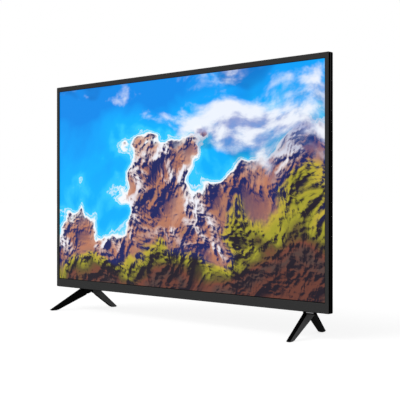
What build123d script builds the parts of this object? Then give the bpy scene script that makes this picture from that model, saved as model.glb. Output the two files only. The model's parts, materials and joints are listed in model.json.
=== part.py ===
from build123d import *
import os
from math import cos, radians, sin

# A 43-inch class flat television on two splayed feet, in millimetres.
# While it is built, X runs along the screen to the viewer's right, Y runs back from the front face,
# and Z runs up from the lower edge of the set. The last section moves the origin to the floor,
# under the middle of the whole object.

# Outline of the set
set_width = 962.4
set_height = 563.8
edge_depth = 13.8
corner_radius = 3.0
side_border = 10.9
top_border = 12.7
bottom_border = 22.0

# Front bezel
bezel_depth = 6.9
bezel_lip = 2.0
bezel_wall = 2.0
bezel_round = 1.4
bezel_bevel = 0.8
bezel_round_limit_share = 0.9
seam_gap = 0.3

# General clearances
running_gap = 0.2
fit_gap = 0.3
cut_overrun = 5.0

# Liquid crystal panel and what lies at its edge
glass_overlap = 4.5
tape_thickness = 0.5
tape_width = 3.5
glass_thickness = 1.5
driver_board_inner_x = 30.0
driver_board_receiver_gap = 12.0
driver_board_height = 10.5
driver_board_thickness = 1.2
driver_film_thickness = 0.2
driver_film_width = 24.0
driver_film_height = 7.0
driver_film_count = 5

# Middle frame and optical sheets
ledge_setback = 1.5
ledge_thickness = 1.2
frame_wall = 2.0
frame_rear_depth = 3.6
sheet_margin = 2.6
prism_thickness = 0.3
diffusing_sheet_thickness = 0.3
diffuser_plate_thickness = 2.0

# Backlight tray
light_depth = 16.0
reflector_thickness = 0.4
tray_thickness = 0.8
tray_slope_run = 30.0
tray_edge_gap = 0.3
bar_end_margin = 12.9
bar_width = 14.0
bar_thickness = 1.0
bar_count = 4
lens_per_bar = 9
lens_radius = 7.5
lens_height = 6.0
lens_foot = 1.2
lens_hole_gap = 0.6

# Rear cover
cover_wall = 2.2
plateau_run = 45.0
bulge_side_margin = 26.2
bulge_side_run = 45.0
bulge_mount_margin = 20.0
bulge_top_run = 63.0
bulge_capacitor_gap = 8.8
bulge_round = 5.0
vent_width = 3.6
vent_pitch = 12.0
vent_count = 30
vent_length = 18.0
vent_drop = 6.0
intake_length = 14.0
intake_lift = 12.0
grille_slot_width = 2.4
grille_slot_pitch = 5.2
grille_slot_count = 9
grille_slot_length = 26.0

# Cover screws in their wells
well_radius = 5.5
well_bore = 1.8
well_counterbore = 4.0
well_floor = 3.6
screw_head_radius = 3.4
screw_head_height = 2.2
screw_shank_radius = 1.5
screw_tip_gap = 0.1
cross_width = 0.9
cross_length = 4.0
cross_depth = 1.2
top_screw_drop = 58.8
top_screw_side_margin = 81.2
top_screw_count = 5
side_screw_margin = 67.2
side_screw_lift = 10.0
low_screw_foot_gap = 42.0
low_screw_bay_gap = 10.0
middle_screw_x = 60.0
middle_screw_lift = 24.0

# Wall mount sockets on the tray
mount_spacing = 200.0
mount_centre_z = 175.0
mount_nut_radius = 7.0
mount_thread_radius = 2.5
mount_thread_depth = 22.0

# Connector bay and mains bay in the cover's ends
bay_x = 292.0
bay_low = 76.0
bay_margin = 6.0
socket_gap = 4.5
io_plate_thickness = 1.0
io_plate_margin = 3.0
window_margin = 2.5
mains_bay_low = 150.0
mains_bay_height = 60.0

# Sockets: width along Z, height along Y, depth along X
hdmi_width = 15.0
hdmi_height = 6.0
hdmi_depth = 12.0
hdmi_wall = 0.5
hdmi_cavity_depth = 9.0
hdmi_tongue_width = 11.0
hdmi_tongue_thickness = 1.0
hdmi_tongue_depth = 6.5
hdmi_count = 3
usb_width = 14.4
usb_height = 6.8
usb_depth = 14.0
usb_wall = 0.6
usb_cavity_depth = 11.0
usb_tongue_width = 11.2
usb_tongue_thickness = 1.8
usb_tongue_gap = 0.8
usb_tongue_depth = 9.0
usb_count = 2
lan_width = 16.0
lan_height = 13.4
lan_depth = 17.0
lan_wall = 1.7
lan_cavity_depth = 13.0
lan_key_width = 6.0
lan_key_height = 1.0
optical_width = 10.0
optical_height = 10.0
optical_depth = 13.0
optical_hole = 5.6
optical_hole_depth = 8.0
jack_width = 8.6
jack_height = 8.6
jack_depth = 14.0
jack_bore = 1.8
jack_bore_depth = 12.0
jack_collar_radius = 3.6
jack_collar_height = 1.4
jack_count = 2
aerial_can_width = 15.0
aerial_can_height = 13.0
aerial_can_depth = 42.0
aerial_barrel_radius = 4.75
aerial_barrel_length = 9.5
aerial_collar_radius = 6.0
aerial_stub_radius = 4.2
aerial_bore_radius = 3.9
aerial_bore_depth = 8.0
aerial_contact_radius = 1.7
aerial_contact_hole = 1.15
aerial_contact_setback = 1.2

# Main board, its parts and the timing board
board_plateau_gap = 1.4
board_thickness = 1.6
board_edge_gap = 0.5
main_board_nut_gap = 16.3
main_board_margin = 2.0
board_post_radius = 3.0
board_post_inset = 7.0
heatsink_side = 42.0
heatsink_base = 3.0
heatsink_fin_height = 12.0
heatsink_fin_thickness = 1.4
heatsink_fin_count = 8
heatsink_place_shares = (0.62, 0.44)
chip_thickness = 1.4
# Along the board, up the board, length, height, and thickness in chips
chip_shares = [
    (0.34, 0.62, 0.10, 0.10, 1.0), (0.50, 0.64, 0.10, 0.10, 1.0), (0.38, 0.36, 0.08, 0.07, 1.0),
    (0.78, 0.82, 0.09, 0.08, 1.0), (0.80, 0.25, 0.05, 0.05, 3.4), (0.70, 0.16, 0.05, 0.05, 3.4),
    (0.90, 0.64, 0.05, 0.12, 4.6), (0.62, 0.92, 0.14, 0.04, 4.6), (0.34, 0.14, 0.05, 0.04, 2.2),
]
timing_board_width = 140.0
timing_board_height = 46.0
timing_board_low = 96.0
ribbon_thickness = 0.4
ribbon_width = 24.0
ribbon_overlap = 9.0
ribbon_clip_height = 2.6
ribbon_clip_depth = 4.0
wireless_width = 30.0
wireless_height = 22.0
wireless_shield = 2.4

# Power board and its parts
power_board_width = 150.0
power_board_low = 98.0
power_board_height = 160.0
transformer_side = 36.0
transformer_height = 24.0
transformer_yoke = 7.0
transformer_coil_bulge = 3.0
capacitor_radius = 9.0
capacitor_height = 28.0
capacitor_groove = 0.6
transformer_place_shares = [(0.42, 0.30), (0.42, 0.66)]
capacitor_place_shares = [(0.78, 0.74), (0.78, 0.88), (0.16, 0.20)]
heatsink_plate_place_shares = [(0.13, 0.56), (0.70, 0.30)]
power_heatsink_length = 60.0
power_heatsink_height = 24.0
power_heatsink_plate = 2.0
power_heatsink_fin = 8.0
power_heatsink_fin_count = 5
inlet_width = 22.0
inlet_height = 15.0
inlet_depth = 22.0
inlet_cavity_width = 15.4
inlet_cavity_height = 8.4
inlet_cavity_depth = 12.0
inlet_flange = 2.4
inlet_flange_margin = 3.0
inlet_pin_radius = 1.2
inlet_pin_spacing = 8.6
inlet_pin_length = 9.5
inlet_lift = 3.0
inlet_cavity_round = 3.6

# Speakers
speaker_bracket_gap = 45.0
speaker_length = 160.0
speaker_depth = 36.0
speaker_height = 50.0
speaker_wall = 2.0
speaker_cone_radius = 15.0
speaker_rim = 1.2
speaker_driver_height = 18.0
# The driver's half section: distance from its axis in cone radii, height in driver heights
speaker_profile_shares = [
    (0, 1), (0.73, 1), (0.73, 0.62), (0.58, 0.55), (1, 0.14), (1, 0), (0.93, 0), (0.28, 0.34), (0, 0.28)
]
speaker_gasket = 2.0
speaker_foot = 6.0
speaker_round = 4.0

# Row of keys on the rear, on the viewer's right, named from the set's side inwards
key_names = [
    "power_key", "source_key", "menu_key", "channel_down_key", "channel_up_key",
    "volume_down_key", "volume_up_key",
]
key_side_margin = 81.2
key_drop = 83.8
key_pitch = 18.0
key_room = 2.1
key_radius = 4.5
key_proud = 1.3
key_flange_extra = 1.2
key_flange_thickness = 1.0
key_stem_radius = 1.5
key_travel = 0.6
key_dish = 0.4
key_engage = 0.2
switch_side = 6.0
switch_height = 3.2
key_board_height = 16.0
key_board_lift = 2.0
key_board_thickness = 1.6
key_board_margin = 11.0

# Remote receiver tab, status light and their board
receiver_side_margin = 52.2
receiver_width = 30.0
receiver_drop = 4.4
receiver_depth = 5.0
receiver_setback = 0.6
receiver_round = 1.2
receiver_stem_width = 9.0
receiver_stem_depth = 1.8
badge_width = 20.0
badge_height = 1.4
badge_drop = 0.3
badge_thickness = 0.4
status_light_offset = 8.0
status_light_z = 7.2
status_light_radius = 1.0

# Feet: stations along the foot, positive towards the back, from the middle of its root
foot_end_margin = 18.0
foot_back_margin = 30.0
foot_angle = 12.0
foot_height = 59.3
foot_root_front = 22.4
foot_root_rear = 18.0
foot_crotch_station = 2.9
foot_crotch_drop = 14.0
front_tip_start = 119.9
front_tip_end = 96.6
rear_tip_start = 60.3
rear_tip_end = 80.4
leg_root_width = 11.4
front_tip_width = 9.8
rear_tip_width = 11.2
front_root_shift = 2.6
front_tip_shift = 5.2
rear_root_shift = 4.8
rear_tip_shift = 5.2
foot_block_width = 13.6
foot_block_half = 24.0
foot_block_drop = 10.5
foot_edge = 0.7
tongue_length = 29.0
tongue_width = 9.0
tongue_height = 12.0
pad_proud = 1.5
pad_embed = 1.0
pad_inset = 1.2
pad_end_inset = 3.5
foot_screw_station = 9.5
foot_screw_radius = 2.0
foot_screw_head_radius = 3.3
foot_screw_head_height = 2.4
foot_screw_seat = 6.0
foot_screw_bore = 3.8
bracket_width = 38.0
bracket_plate = 3.0
bracket_bay_gap = 1.8
bracket_rear_margin = 22.0

# Wiring inside the set
harness_radius = 2.0
harness_clip_width = 12.0
harness_clip_height = 7.0
harness_clip_depth = 6.0
harness_rise = 14.0
harness_bend = 10.0
speaker_cable_rise = 10.6
speaker_cable_bend = 8.0
speaker_plug_inset = 3.0

# Places worked out from the sizes above
half_width = set_width / 2
window_half = half_width - side_border
window_low = bottom_border
window_high = set_height - top_border
glass_front = bezel_lip + tape_thickness
glass_back = glass_front + glass_thickness
receiver_x = half_width - receiver_side_margin
status_light_x = receiver_x - status_light_offset
receiver_board_end = status_light_x - receiver_stem_width
driver_board_outer_x = receiver_board_end - driver_board_receiver_gap
ledge_front = glass_back + driver_film_thickness
ledge_back = ledge_front + ledge_thickness
prism_back = ledge_back + prism_thickness
diffusing_sheet_back = prism_back + diffusing_sheet_thickness
diffuser_back = diffusing_sheet_back + diffuser_plate_thickness
reflector_back = diffuser_back + light_depth
bar_back = reflector_back + bar_thickness
tray_back = bar_back + tray_thickness
bar_half_length = window_half + sheet_margin - tray_slope_run - bar_end_margin
key_board_front = tray_back + key_board_lift
key_board_back = key_board_front + key_board_thickness
switch_top = key_board_back + switch_height
plateau_inner = switch_top + key_room + key_flange_thickness + running_gap / 2
plateau_depth = plateau_inner + cover_wall
board_front = plateau_depth + board_plateau_gap
board_back = board_front + board_thickness
bulge_inner = board_back + capacitor_height + bulge_capacitor_gap
bulge_depth = bulge_inner + cover_wall
bulge_base_half_width = half_width - bulge_side_margin
bulge_half_width = bulge_base_half_width - bulge_side_run
bulge_top = mount_centre_z + mount_spacing / 2 + bulge_mount_margin
bulge_base_top = bulge_top + bulge_top_run
cover_front = bezel_depth + seam_gap
bay_inner = bay_x - cover_wall
foot_x = bulge_half_width - foot_end_margin
foot_y = bulge_depth - foot_back_margin
bracket_rise = bay_low - cover_wall - bracket_bay_gap
speaker_inner_x = foot_x - bracket_width / 2 - speaker_bracket_gap - speaker_length
speaker_middle_x = speaker_inner_x + speaker_length / 2
speaker_middle_y = tray_back + speaker_foot + speaker_depth / 2
speaker_low = cover_wall + speaker_gasket
speaker_high = speaker_low + speaker_height
key_z = set_height - key_drop
frame_half = half_width - bezel_wall - fit_gap
frame_low = bezel_wall + fit_gap
frame_high = set_height - bezel_wall - fit_gap
tray_half = frame_half - frame_wall - tray_edge_gap
tray_low = frame_low + frame_wall + tray_edge_gap
tray_high = frame_high - frame_wall - tray_edge_gap

# Each socket's kind, width and height, from the lowest upwards, and the bays that follow
socket_kinds = (
    [("hdmi", hdmi_width, hdmi_height)] * hdmi_count
    + [("usb", usb_width, usb_height)] * usb_count
    + [("lan", lan_width, lan_height), ("optical", optical_width, optical_height)]
    + [("jack", jack_width, jack_height)] * jack_count
    + [("aerial", aerial_can_width, aerial_can_height)]
)
socket_stack = sum(width + socket_gap for _, width, _ in socket_kinds) - socket_gap
bay_high = bay_low + socket_stack + 2 * bay_margin
mains_bay_high = mains_bay_low + mains_bay_height
mains_middle = (mains_bay_low + mains_bay_high) / 2


def block(x_low, x_high, y_low, y_high, z_low, z_high):
    """A box between two corners."""
    middle = Pos((x_low + x_high) / 2, (y_low + y_high) / 2, (z_low + z_high) / 2)
    return middle * Box(x_high - x_low, y_high - y_low, z_high - z_low)


def rod_x(radius, x_low, x_high, y, z):
    """A cylinder along X."""
    return Pos((x_low + x_high) / 2, y, z) * Rot(0, 90, 0) * Cylinder(radius, x_high - x_low)


def rod_y(radius, y_low, y_high, x, z):
    """A cylinder along Y."""
    return Pos(x, (y_low + y_high) / 2, z) * Rot(90, 0, 0) * Cylinder(radius, y_high - y_low)


def rod_z(radius, z_low, z_high, x, y):
    """A cylinder along Z."""
    return Pos(x, y, (z_low + z_high) / 2) * Cylinder(radius, z_high - z_low)


def ring(outer, inner, y_low, y_high):
    """A rectangular ring in the plane of the screen; each outline is x half width, low and high."""
    hole = block(-inner[0], inner[0], y_low - cut_overrun, y_high + cut_overrun, inner[1], inner[2])
    return block(-outer[0], outer[0], y_low, y_high, outer[1], outer[2]) - hole


def rectangle_wire(y, half, low, high):
    """A rectangle standing at one depth."""
    return Wire.make_polygon([(-half, y, low), (half, y, low), (half, y, high), (-half, y, high)])


def tapered_block(y_front, front, y_back, back):
    """A solid with flat sides between two rectangles; each is x half width, low and high."""
    wires = [rectangle_wire(y_front, *front), rectangle_wire(y_back, *back)]
    return Solid.make_loft(wires, ruled=True)


def both_sides(shape):
    """The shape and its mirror image on the other side of the set."""
    return [shape, mirror(shape, about=Plane.YZ)]


def group(shapes):
    """Separate solids that share one node."""
    return Compound([solid for shape in shapes for solid in shape.solids()])


def rounded_outline(y_low, y_high):
    """The set's outline with its four rounded corners, between two depths."""
    body = block(-half_width, half_width, y_low, y_high, 0, set_height)
    return fillet(body.edges().filter_by(Axis.Y), corner_radius)


def front_bezel():
    """The frame round the picture, with a round outer edge and a bevel beside the glass."""
    body = rounded_outline(0, bezel_depth)
    soft = min(bezel_round, corner_radius * bezel_round_limit_share, bezel_lip * bezel_round_limit_share)
    body = fillet(body.faces().sort_by(Axis.Y)[0].edges(), soft)
    room = block(
        bezel_wall - half_width, half_width - bezel_wall,
        bezel_lip, bezel_depth + cut_overrun, bezel_wall, set_height - bezel_wall,
    )
    opening = block(
        -window_half, window_half, -cut_overrun, bezel_lip + cut_overrun, window_low, window_high
    )
    bevel = tapered_block(
        0, (window_half + bezel_bevel, window_low - bezel_bevel, window_high + bezel_bevel),
        bezel_bevel, (window_half, window_low, window_high),
    )
    stem_hole = receiver_stem(fit_gap, bezel_wall + cut_overrun)
    light_hole = rod_y(
        status_light_radius, -cut_overrun, bezel_lip + cut_overrun, status_light_x, status_light_z
    )
    return body.cut(room, opening, bevel, stem_hole, light_hole)


def receiver_stem(gap, top):
    """The light guide that rises through the bezel's lower wall to the receiver."""
    middle = glass_front + driver_board_thickness / 2
    return block(
        receiver_x - receiver_stem_width / 2 - gap, receiver_x + receiver_stem_width / 2 + gap,
        middle - receiver_stem_depth / 2 - gap, middle + receiver_stem_depth / 2 + gap,
        -gap, top,
    )


def receiver_board_low():
    """The lower edge of the boards that lie in the bottom border."""
    return frame_low + frame_wall + fit_gap


def receiver_tab():
    """The small dark window that hangs under the bezel, with its light guide."""
    back = receiver_setback + receiver_depth
    body = block(
        receiver_x - receiver_width / 2, receiver_x + receiver_width / 2,
        receiver_setback, back, -receiver_drop, 0,
    )
    body = fillet(body.edges().filter_by(Axis.Y).group_by(Axis.Z)[0], receiver_round)
    body = body + receiver_stem(0, receiver_board_low())
    return body - badge_strip()


def badge_strip():
    """The plain strip let into the front of the receiver tab."""
    return block(
        receiver_x - badge_width / 2, receiver_x + badge_width / 2,
        receiver_setback, receiver_setback + badge_thickness,
        -badge_drop - badge_height, -badge_drop,
    )


def status_light():
    """The pin-sized lens in the bezel, in front of the receiver board."""
    return rod_y(status_light_radius, 0, glass_front, status_light_x, status_light_z)


def receiver_board():
    """The small board that carries the remote receiver and the status light."""
    low = receiver_board_low()
    return block(
        receiver_board_end, receiver_x + receiver_width / 2,
        glass_front, glass_front + driver_board_thickness, low, low + driver_board_height,
    )


def panel_outline(margin):
    """The glass outline: the window grown by a margin, as x half width, low and high."""
    return (window_half + margin, window_low - margin, window_high + margin)


def lcd_panel():
    """The glass panel that shows the picture."""
    half, low, high = panel_outline(glass_overlap)
    return block(-half, half, glass_front, glass_back, low, high)


def panel_cushion():
    """The foam tape between the bezel and the glass."""
    inner = panel_outline(glass_overlap - tape_width)
    return ring(panel_outline(glass_overlap), inner, bezel_lip, glass_front)


def driver_boards():
    """Two long boards under the glass that feed its columns."""
    low = receiver_board_low()
    board = block(
        driver_board_inner_x, driver_board_outer_x,
        glass_back - driver_board_thickness, glass_back, low, low + driver_board_height,
    )
    return group(both_sides(board))


def driver_films():
    """Short flexible films that join the glass to the driver boards."""
    top = window_low - glass_overlap / 2
    pitch = (driver_board_outer_x - driver_board_inner_x) / driver_film_count
    films = []
    for i in range(driver_film_count):
        x = driver_board_inner_x + pitch * (i + 0.5)
        film = block(
            x - driver_film_width / 2, x + driver_film_width / 2,
            glass_back, ledge_front, top - driver_film_height, top,
        )
        films += both_sides(film)
    return group(films)


def middle_frame():
    """The plastic frame that carries the glass and clamps the sheets."""
    outer = (frame_half, frame_low, frame_high)
    inner = (frame_half - frame_wall, frame_low + frame_wall, frame_high - frame_wall)
    ledge = ring(outer, panel_outline(ledge_setback), ledge_front, ledge_back)
    wall = ring(outer, inner, bezel_lip + fit_gap, ledge_back + frame_rear_depth)
    return ledge + wall - receiver_stem(fit_gap, receiver_board_low())


def optical_sheet(front, back):
    """One sheet of the optical stack."""
    half, low, high = panel_outline(sheet_margin)
    return block(-half, half, front, back, low, high)


def lamp_places():
    """The x and z of each lens."""
    places = []
    span = set_height - bottom_border - top_border
    for row in range(bar_count):
        z = bottom_border + span * (row + 0.5) / bar_count
        for column in range(lens_per_bar):
            x = bar_half_length * (2 * (column + 0.5) / lens_per_bar - 1)
            places.append((x, z))
    return places


def dish(outer_front, y_front, y_back, thickness, run):
    """An open tray of sheet with sloping sides."""
    half, low, high = outer_front
    outer = tapered_block(y_front, (half, low, high), y_back, (half - run, low + run, high - run))
    room = tapered_block(
        y_front - thickness, (half, low, high), y_back - thickness, (half - run, low + run, high - run)
    )
    return outer - room


def reflector_sheet():
    """The white tray behind the diffuser, with a hole for every lens."""
    outline = panel_outline(sheet_margin)
    body = dish(outline, diffuser_back, reflector_back, reflector_thickness, tray_slope_run)
    radius = lens_radius + lens_hole_gap
    holes = [
        rod_y(radius, reflector_back - cut_overrun, reflector_back + cut_overrun, x, z)
        for x, z in lamp_places()
    ]
    return body.cut(*holes)


def led_bars():
    """The lamp boards that lie along the tray."""
    rows = sorted({z for _, z in lamp_places()})
    return group([
        block(
            -bar_half_length, bar_half_length, reflector_back, bar_back, z - bar_width / 2, z + bar_width / 2
        )
        for z in rows
    ])


def lens_shape():
    """One spreading lens: a round foot under a cap cut from a ball, along Z."""
    cap_height = lens_height - lens_foot
    ball_radius = (lens_radius ** 2 + cap_height ** 2) / (2 * cap_height)
    foot = Pos(0, 0, lens_foot / 2) * Cylinder(lens_radius, lens_foot)
    ball = Pos(0, 0, lens_height - ball_radius) * Sphere(ball_radius)
    bound = Pos(0, 0, lens_foot + cap_height / 2) * Cylinder(lens_radius, cap_height)
    return foot + (ball & bound)


def led_lenses():
    """All the lenses, standing on their bars and facing the glass."""
    lens = Rot(90, 0, 0) * lens_shape()
    return group([Pos(x, reflector_back, z) * lens for x, z in lamp_places()])


def backlight_tray():
    """The steel tray that everything is screwed to."""
    half, low, high = panel_outline(sheet_margin)
    body = dish((half, low, high), diffuser_back + tray_thickness, tray_back, tray_thickness, tray_slope_run)
    flange = ring(
        (tray_half, tray_low, tray_high), (half, low, high),
        diffuser_back, diffuser_back + tray_thickness,
    )
    body = body + flange
    posts = [
        rod_y(board_post_radius, tray_back - tray_thickness, board_front, x, z)
        for x, z in board_post_places()
    ]
    body = body.fuse(*posts)
    holes = [
        rod_y(screw_shank_radius, tray_back - tray_thickness - cut_overrun, tray_back + cut_overrun, x, z)
        for x, z, _ in cover_screw_places()
    ]
    return body.cut(*holes)


def board_corners(x_low, x_high, z_low, z_high):
    """The four fixing places of a board."""
    inset = board_post_inset
    return [(x, z) for x in (x_low + inset, x_high - inset) for z in (z_low + inset, z_high - inset)]


def board_post_places():
    """Every post that holds a board off the tray."""
    return [place for outline in board_outlines() for place in board_corners(*outline)]


def socket_column():
    """Each socket's kind, its lower and upper end and its height off the board."""
    low = bay_low + bay_margin
    places = []
    for kind, width, height in socket_kinds:
        places.append((kind, low, low + width, height))
        low += width + socket_gap
    return places


def board_outlines():
    """The main board, the power board and the timing board, each as x low, x high, z low, z high."""
    main_edge = bay_inner - io_plate_thickness - board_edge_gap
    main_inner = mount_spacing / 2 + mount_nut_radius + main_board_nut_gap
    main = (-main_edge, -main_inner, bay_low + main_board_margin, bay_high - main_board_margin)
    power_edge = bay_inner - inlet_flange - board_edge_gap
    power_high = power_board_low + power_board_height
    power = (power_edge - power_board_width, power_edge, power_board_low, power_high)
    half = timing_board_width / 2
    timing = (-half, half, timing_board_low, timing_board_low + timing_board_height)
    return [main, power, timing]


def board(outline):
    """One circuit board."""
    x_low, x_high, z_low, z_high = outline
    return block(x_low, x_high, board_front, board_back, z_low, z_high)


def sockets_of(kind, shape):
    """Every socket of one kind, each shape built with its low end at Z zero."""
    places = [low for name, low, _, _ in socket_column() if name == kind]
    return group([Pos(-bay_x, board_back, low) * shape for low in places])


def hdmi_socket():
    """A flat shell with a tongue."""
    shell = block(0, hdmi_depth, 0, hdmi_height, 0, hdmi_width)
    room = block(
        -cut_overrun, hdmi_cavity_depth, hdmi_wall, hdmi_height - hdmi_wall,
        hdmi_wall, hdmi_width - hdmi_wall,
    )
    middle_y, middle_z = hdmi_height / 2, hdmi_width / 2
    tongue = block(
        hdmi_cavity_depth - hdmi_tongue_depth, hdmi_cavity_depth,
        middle_y - hdmi_tongue_thickness / 2, middle_y + hdmi_tongue_thickness / 2,
        middle_z - hdmi_tongue_width / 2, middle_z + hdmi_tongue_width / 2,
    )
    return shell - room + tongue


def usb_socket():
    """A rectangular shell with its tongue against one side."""
    shell = block(0, usb_depth, 0, usb_height, 0, usb_width)
    room = block(
        -cut_overrun, usb_cavity_depth, usb_wall, usb_height - usb_wall, usb_wall, usb_width - usb_wall
    )
    middle = usb_width / 2
    tongue_top = usb_height - usb_wall - usb_tongue_gap
    tongue = block(
        usb_cavity_depth - usb_tongue_depth, usb_cavity_depth,
        tongue_top - usb_tongue_thickness, tongue_top,
        middle - usb_tongue_width / 2, middle + usb_tongue_width / 2,
    )
    return shell - room + tongue


def lan_socket():
    """A deep square socket with a slot for the plug's latch."""
    shell = block(0, lan_depth, 0, lan_height, 0, lan_width)
    room = block(
        -cut_overrun, lan_cavity_depth, lan_wall, lan_height - lan_wall - lan_key_height,
        lan_wall, lan_width - lan_wall,
    )
    middle = lan_width / 2
    key = block(
        -cut_overrun, lan_cavity_depth, lan_height / 2, lan_height - lan_wall,
        middle - lan_key_width / 2, middle + lan_key_width / 2,
    )
    return shell.cut(room, key)


def optical_socket():
    """A square socket for the optical sound output."""
    shell = block(0, optical_depth, 0, optical_height, 0, optical_width)
    low_y, low_z = (optical_height - optical_hole) / 2, (optical_width - optical_hole) / 2
    room = block(-cut_overrun, optical_hole_depth, low_y, low_y + optical_hole, low_z, low_z + optical_hole)
    return shell - room


def jack_socket():
    """A round sound socket for a 3.5 mm plug."""
    y, z = jack_height / 2, jack_width / 2
    body = block(0, jack_depth, 0, jack_height, 0, jack_width)
    collar = rod_x(jack_collar_radius, -jack_collar_height, 0, y, z)
    bore = rod_x(jack_bore, -jack_collar_height - cut_overrun, jack_bore_depth, y, z)
    return body + collar - bore


def tuner_can():
    """The tuner's shielded box behind the aerial socket."""
    return block(
        io_plate_thickness + cover_wall, aerial_can_depth, 0, aerial_can_height, 0, aerial_can_width
    )


def aerial_socket():
    """The round aerial socket: a barrel on a collar, with its centre contact set back."""
    y, z = aerial_can_height / 2, aerial_can_width / 2
    front = -aerial_barrel_length
    body = rod_x(aerial_barrel_radius, front, 0, y, z)
    collar = rod_x(aerial_collar_radius, 0, cover_wall, y, z)
    stub = rod_x(aerial_stub_radius, cover_wall, cover_wall + io_plate_thickness, y, z)
    bore = rod_x(aerial_bore_radius, front - cut_overrun, front + aerial_bore_depth, y, z)
    contact = rod_x(aerial_contact_radius, front + aerial_contact_setback, front + aerial_bore_depth, y, z)
    hole = rod_x(aerial_contact_hole, front - cut_overrun, front + aerial_bore_depth, y, z)
    return body.fuse(collar, stub) - bore + (contact - hole)


def io_panel():
    """The plate behind the bay's window, with an opening for each socket."""
    plate = block(
        -bay_inner, -bay_inner + io_plate_thickness,
        board_back - window_margin - io_plate_margin,
        board_back + lan_height + window_margin + io_plate_margin,
        bay_low + bay_margin - window_margin - io_plate_margin,
        bay_high - bay_margin + window_margin + io_plate_margin,
    )
    cuts = []
    for kind, low, high, height in socket_column():
        if kind == "aerial":
            y, z = board_back + height / 2, (low + high) / 2
            cuts.append(rod_x(aerial_stub_radius + running_gap, -bay_x, -bay_x + aerial_can_depth, y, z))
        else:
            cuts.append(block(
                -bay_x, -bay_inner + io_plate_thickness + cut_overrun, board_back - running_gap,
                board_back + height + running_gap, low - running_gap, high + running_gap,
            ))
    return plate.cut(*cuts)


def io_window():
    """The window in the bay's wall."""
    return block(
        -bay_x - cut_overrun, -bay_inner + cut_overrun / 4, board_back - window_margin,
        board_back + lan_height + window_margin,
        bay_low + bay_margin - window_margin, bay_high - bay_margin + window_margin,
    )


def main_board_chips():
    """The chips, coils and connectors that stand on the main board."""
    x_low, x_high, z_low, z_high = board_outlines()[0]
    width, height = x_high - x_low, z_high - z_low
    return group([
        block(
            x_low + width * (x - w / 2), x_low + width * (x + w / 2),
            board_back, board_back + chip_thickness * tall,
            z_low + height * (z - h / 2), z_low + height * (z + h / 2),
        )
        for x, z, w, h, tall in chip_shares
    ])


def processor_heatsink():
    """A finned block on the processor."""
    x_low, x_high, z_low, z_high = board_outlines()[0]
    x = x_low + (x_high - x_low) * heatsink_place_shares[0]
    z = z_low + (z_high - z_low) * heatsink_place_shares[1]
    half = heatsink_side / 2
    base = block(x - half, x + half, board_back, board_back + heatsink_base, z - half, z + half)
    pitch = (heatsink_side - heatsink_fin_thickness) / (heatsink_fin_count - 1)
    base_top = board_back + heatsink_base
    fins = []
    for i in range(heatsink_fin_count):
        low = x - half + pitch * i
        fins.append(block(
            low, low + heatsink_fin_thickness, base_top, base_top + heatsink_fin_height, z - half, z + half
        ))
    return base.fuse(*fins)


def wireless_module():
    """The small radio board with its metal shield, on the tray above the main board's corner."""
    x_high = board_outlines()[2][1]
    z_low = mount_centre_z + mount_spacing / 4
    base = block(
        x_high - wireless_width, x_high, tray_back, tray_back + board_thickness,
        z_low, z_low + wireless_height,
    )
    rim = wireless_height / 6
    shield = block(
        x_high - wireless_width + rim, x_high - rim, tray_back + board_thickness,
        tray_back + board_thickness + wireless_shield, z_low + rim, z_low + wireless_height - rim,
    )
    return base + shield


def timing_ribbon():
    """The flat cable from the main board to the timing board, with its two clips."""
    main_edge = board_outlines()[0][1]
    timing_edge = board_outlines()[2][0]
    low = timing_board_low + (timing_board_height - ribbon_width) / 2
    strip = block(
        main_edge - ribbon_overlap, timing_edge + ribbon_overlap, board_back, board_back + ribbon_thickness,
        low, low + ribbon_width,
    )
    clips = [
        block(
            x, x + ribbon_clip_depth, board_back + ribbon_thickness,
            board_back + ribbon_thickness + ribbon_clip_height, low, low + ribbon_width,
        )
        for x in (main_edge - ribbon_overlap, timing_edge + ribbon_overlap - ribbon_clip_depth)
    ]
    return strip.fuse(*clips)


def power_place(x_share, z_share):
    """A place on the power board."""
    x_low, x_high, z_low, z_high = board_outlines()[1]
    return x_low + (x_high - x_low) * x_share, z_low + (z_high - z_low) * z_share


def power_transformers():
    """Two transformers: a yoke round a coil."""
    solids = []
    for shares in transformer_place_shares:
        x, z = power_place(*shares)
        half = transformer_side / 2
        top = board_back + transformer_height
        coil_half = half - transformer_yoke
        yoke = block(x - half, x + half, board_back, top, z - half, z + half)
        opening = block(
            x - half - cut_overrun, x + half + cut_overrun, board_back - cut_overrun, top + cut_overrun,
            z - coil_half, z + coil_half,
        )
        coil = block(
            x - half - transformer_coil_bulge, x + half + transformer_coil_bulge,
            board_back, top - transformer_coil_bulge, z - coil_half, z + coil_half,
        )
        coil = fillet(coil.edges().filter_by(Axis.Z), transformer_coil_bulge)
        solids += [*(yoke - opening).solids(), coil]
    return group(solids)


def power_capacitors():
    """Three upright cans with a crimped groove."""
    cans = []
    for shares in capacitor_place_shares:
        x, z = power_place(*shares)
        top = board_back + capacitor_height
        can = rod_y(capacitor_radius, board_back, top, x, z)
        groove_low = board_back + capacitor_height / 8
        groove = rod_y(capacitor_radius + cut_overrun, groove_low, groove_low + capacitor_groove * 2, x, z)
        groove = groove - rod_y(
            capacitor_radius - capacitor_groove, board_back - cut_overrun, top + cut_overrun, x, z
        )
        cans.append(can - groove)
    return group(cans)


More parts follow.
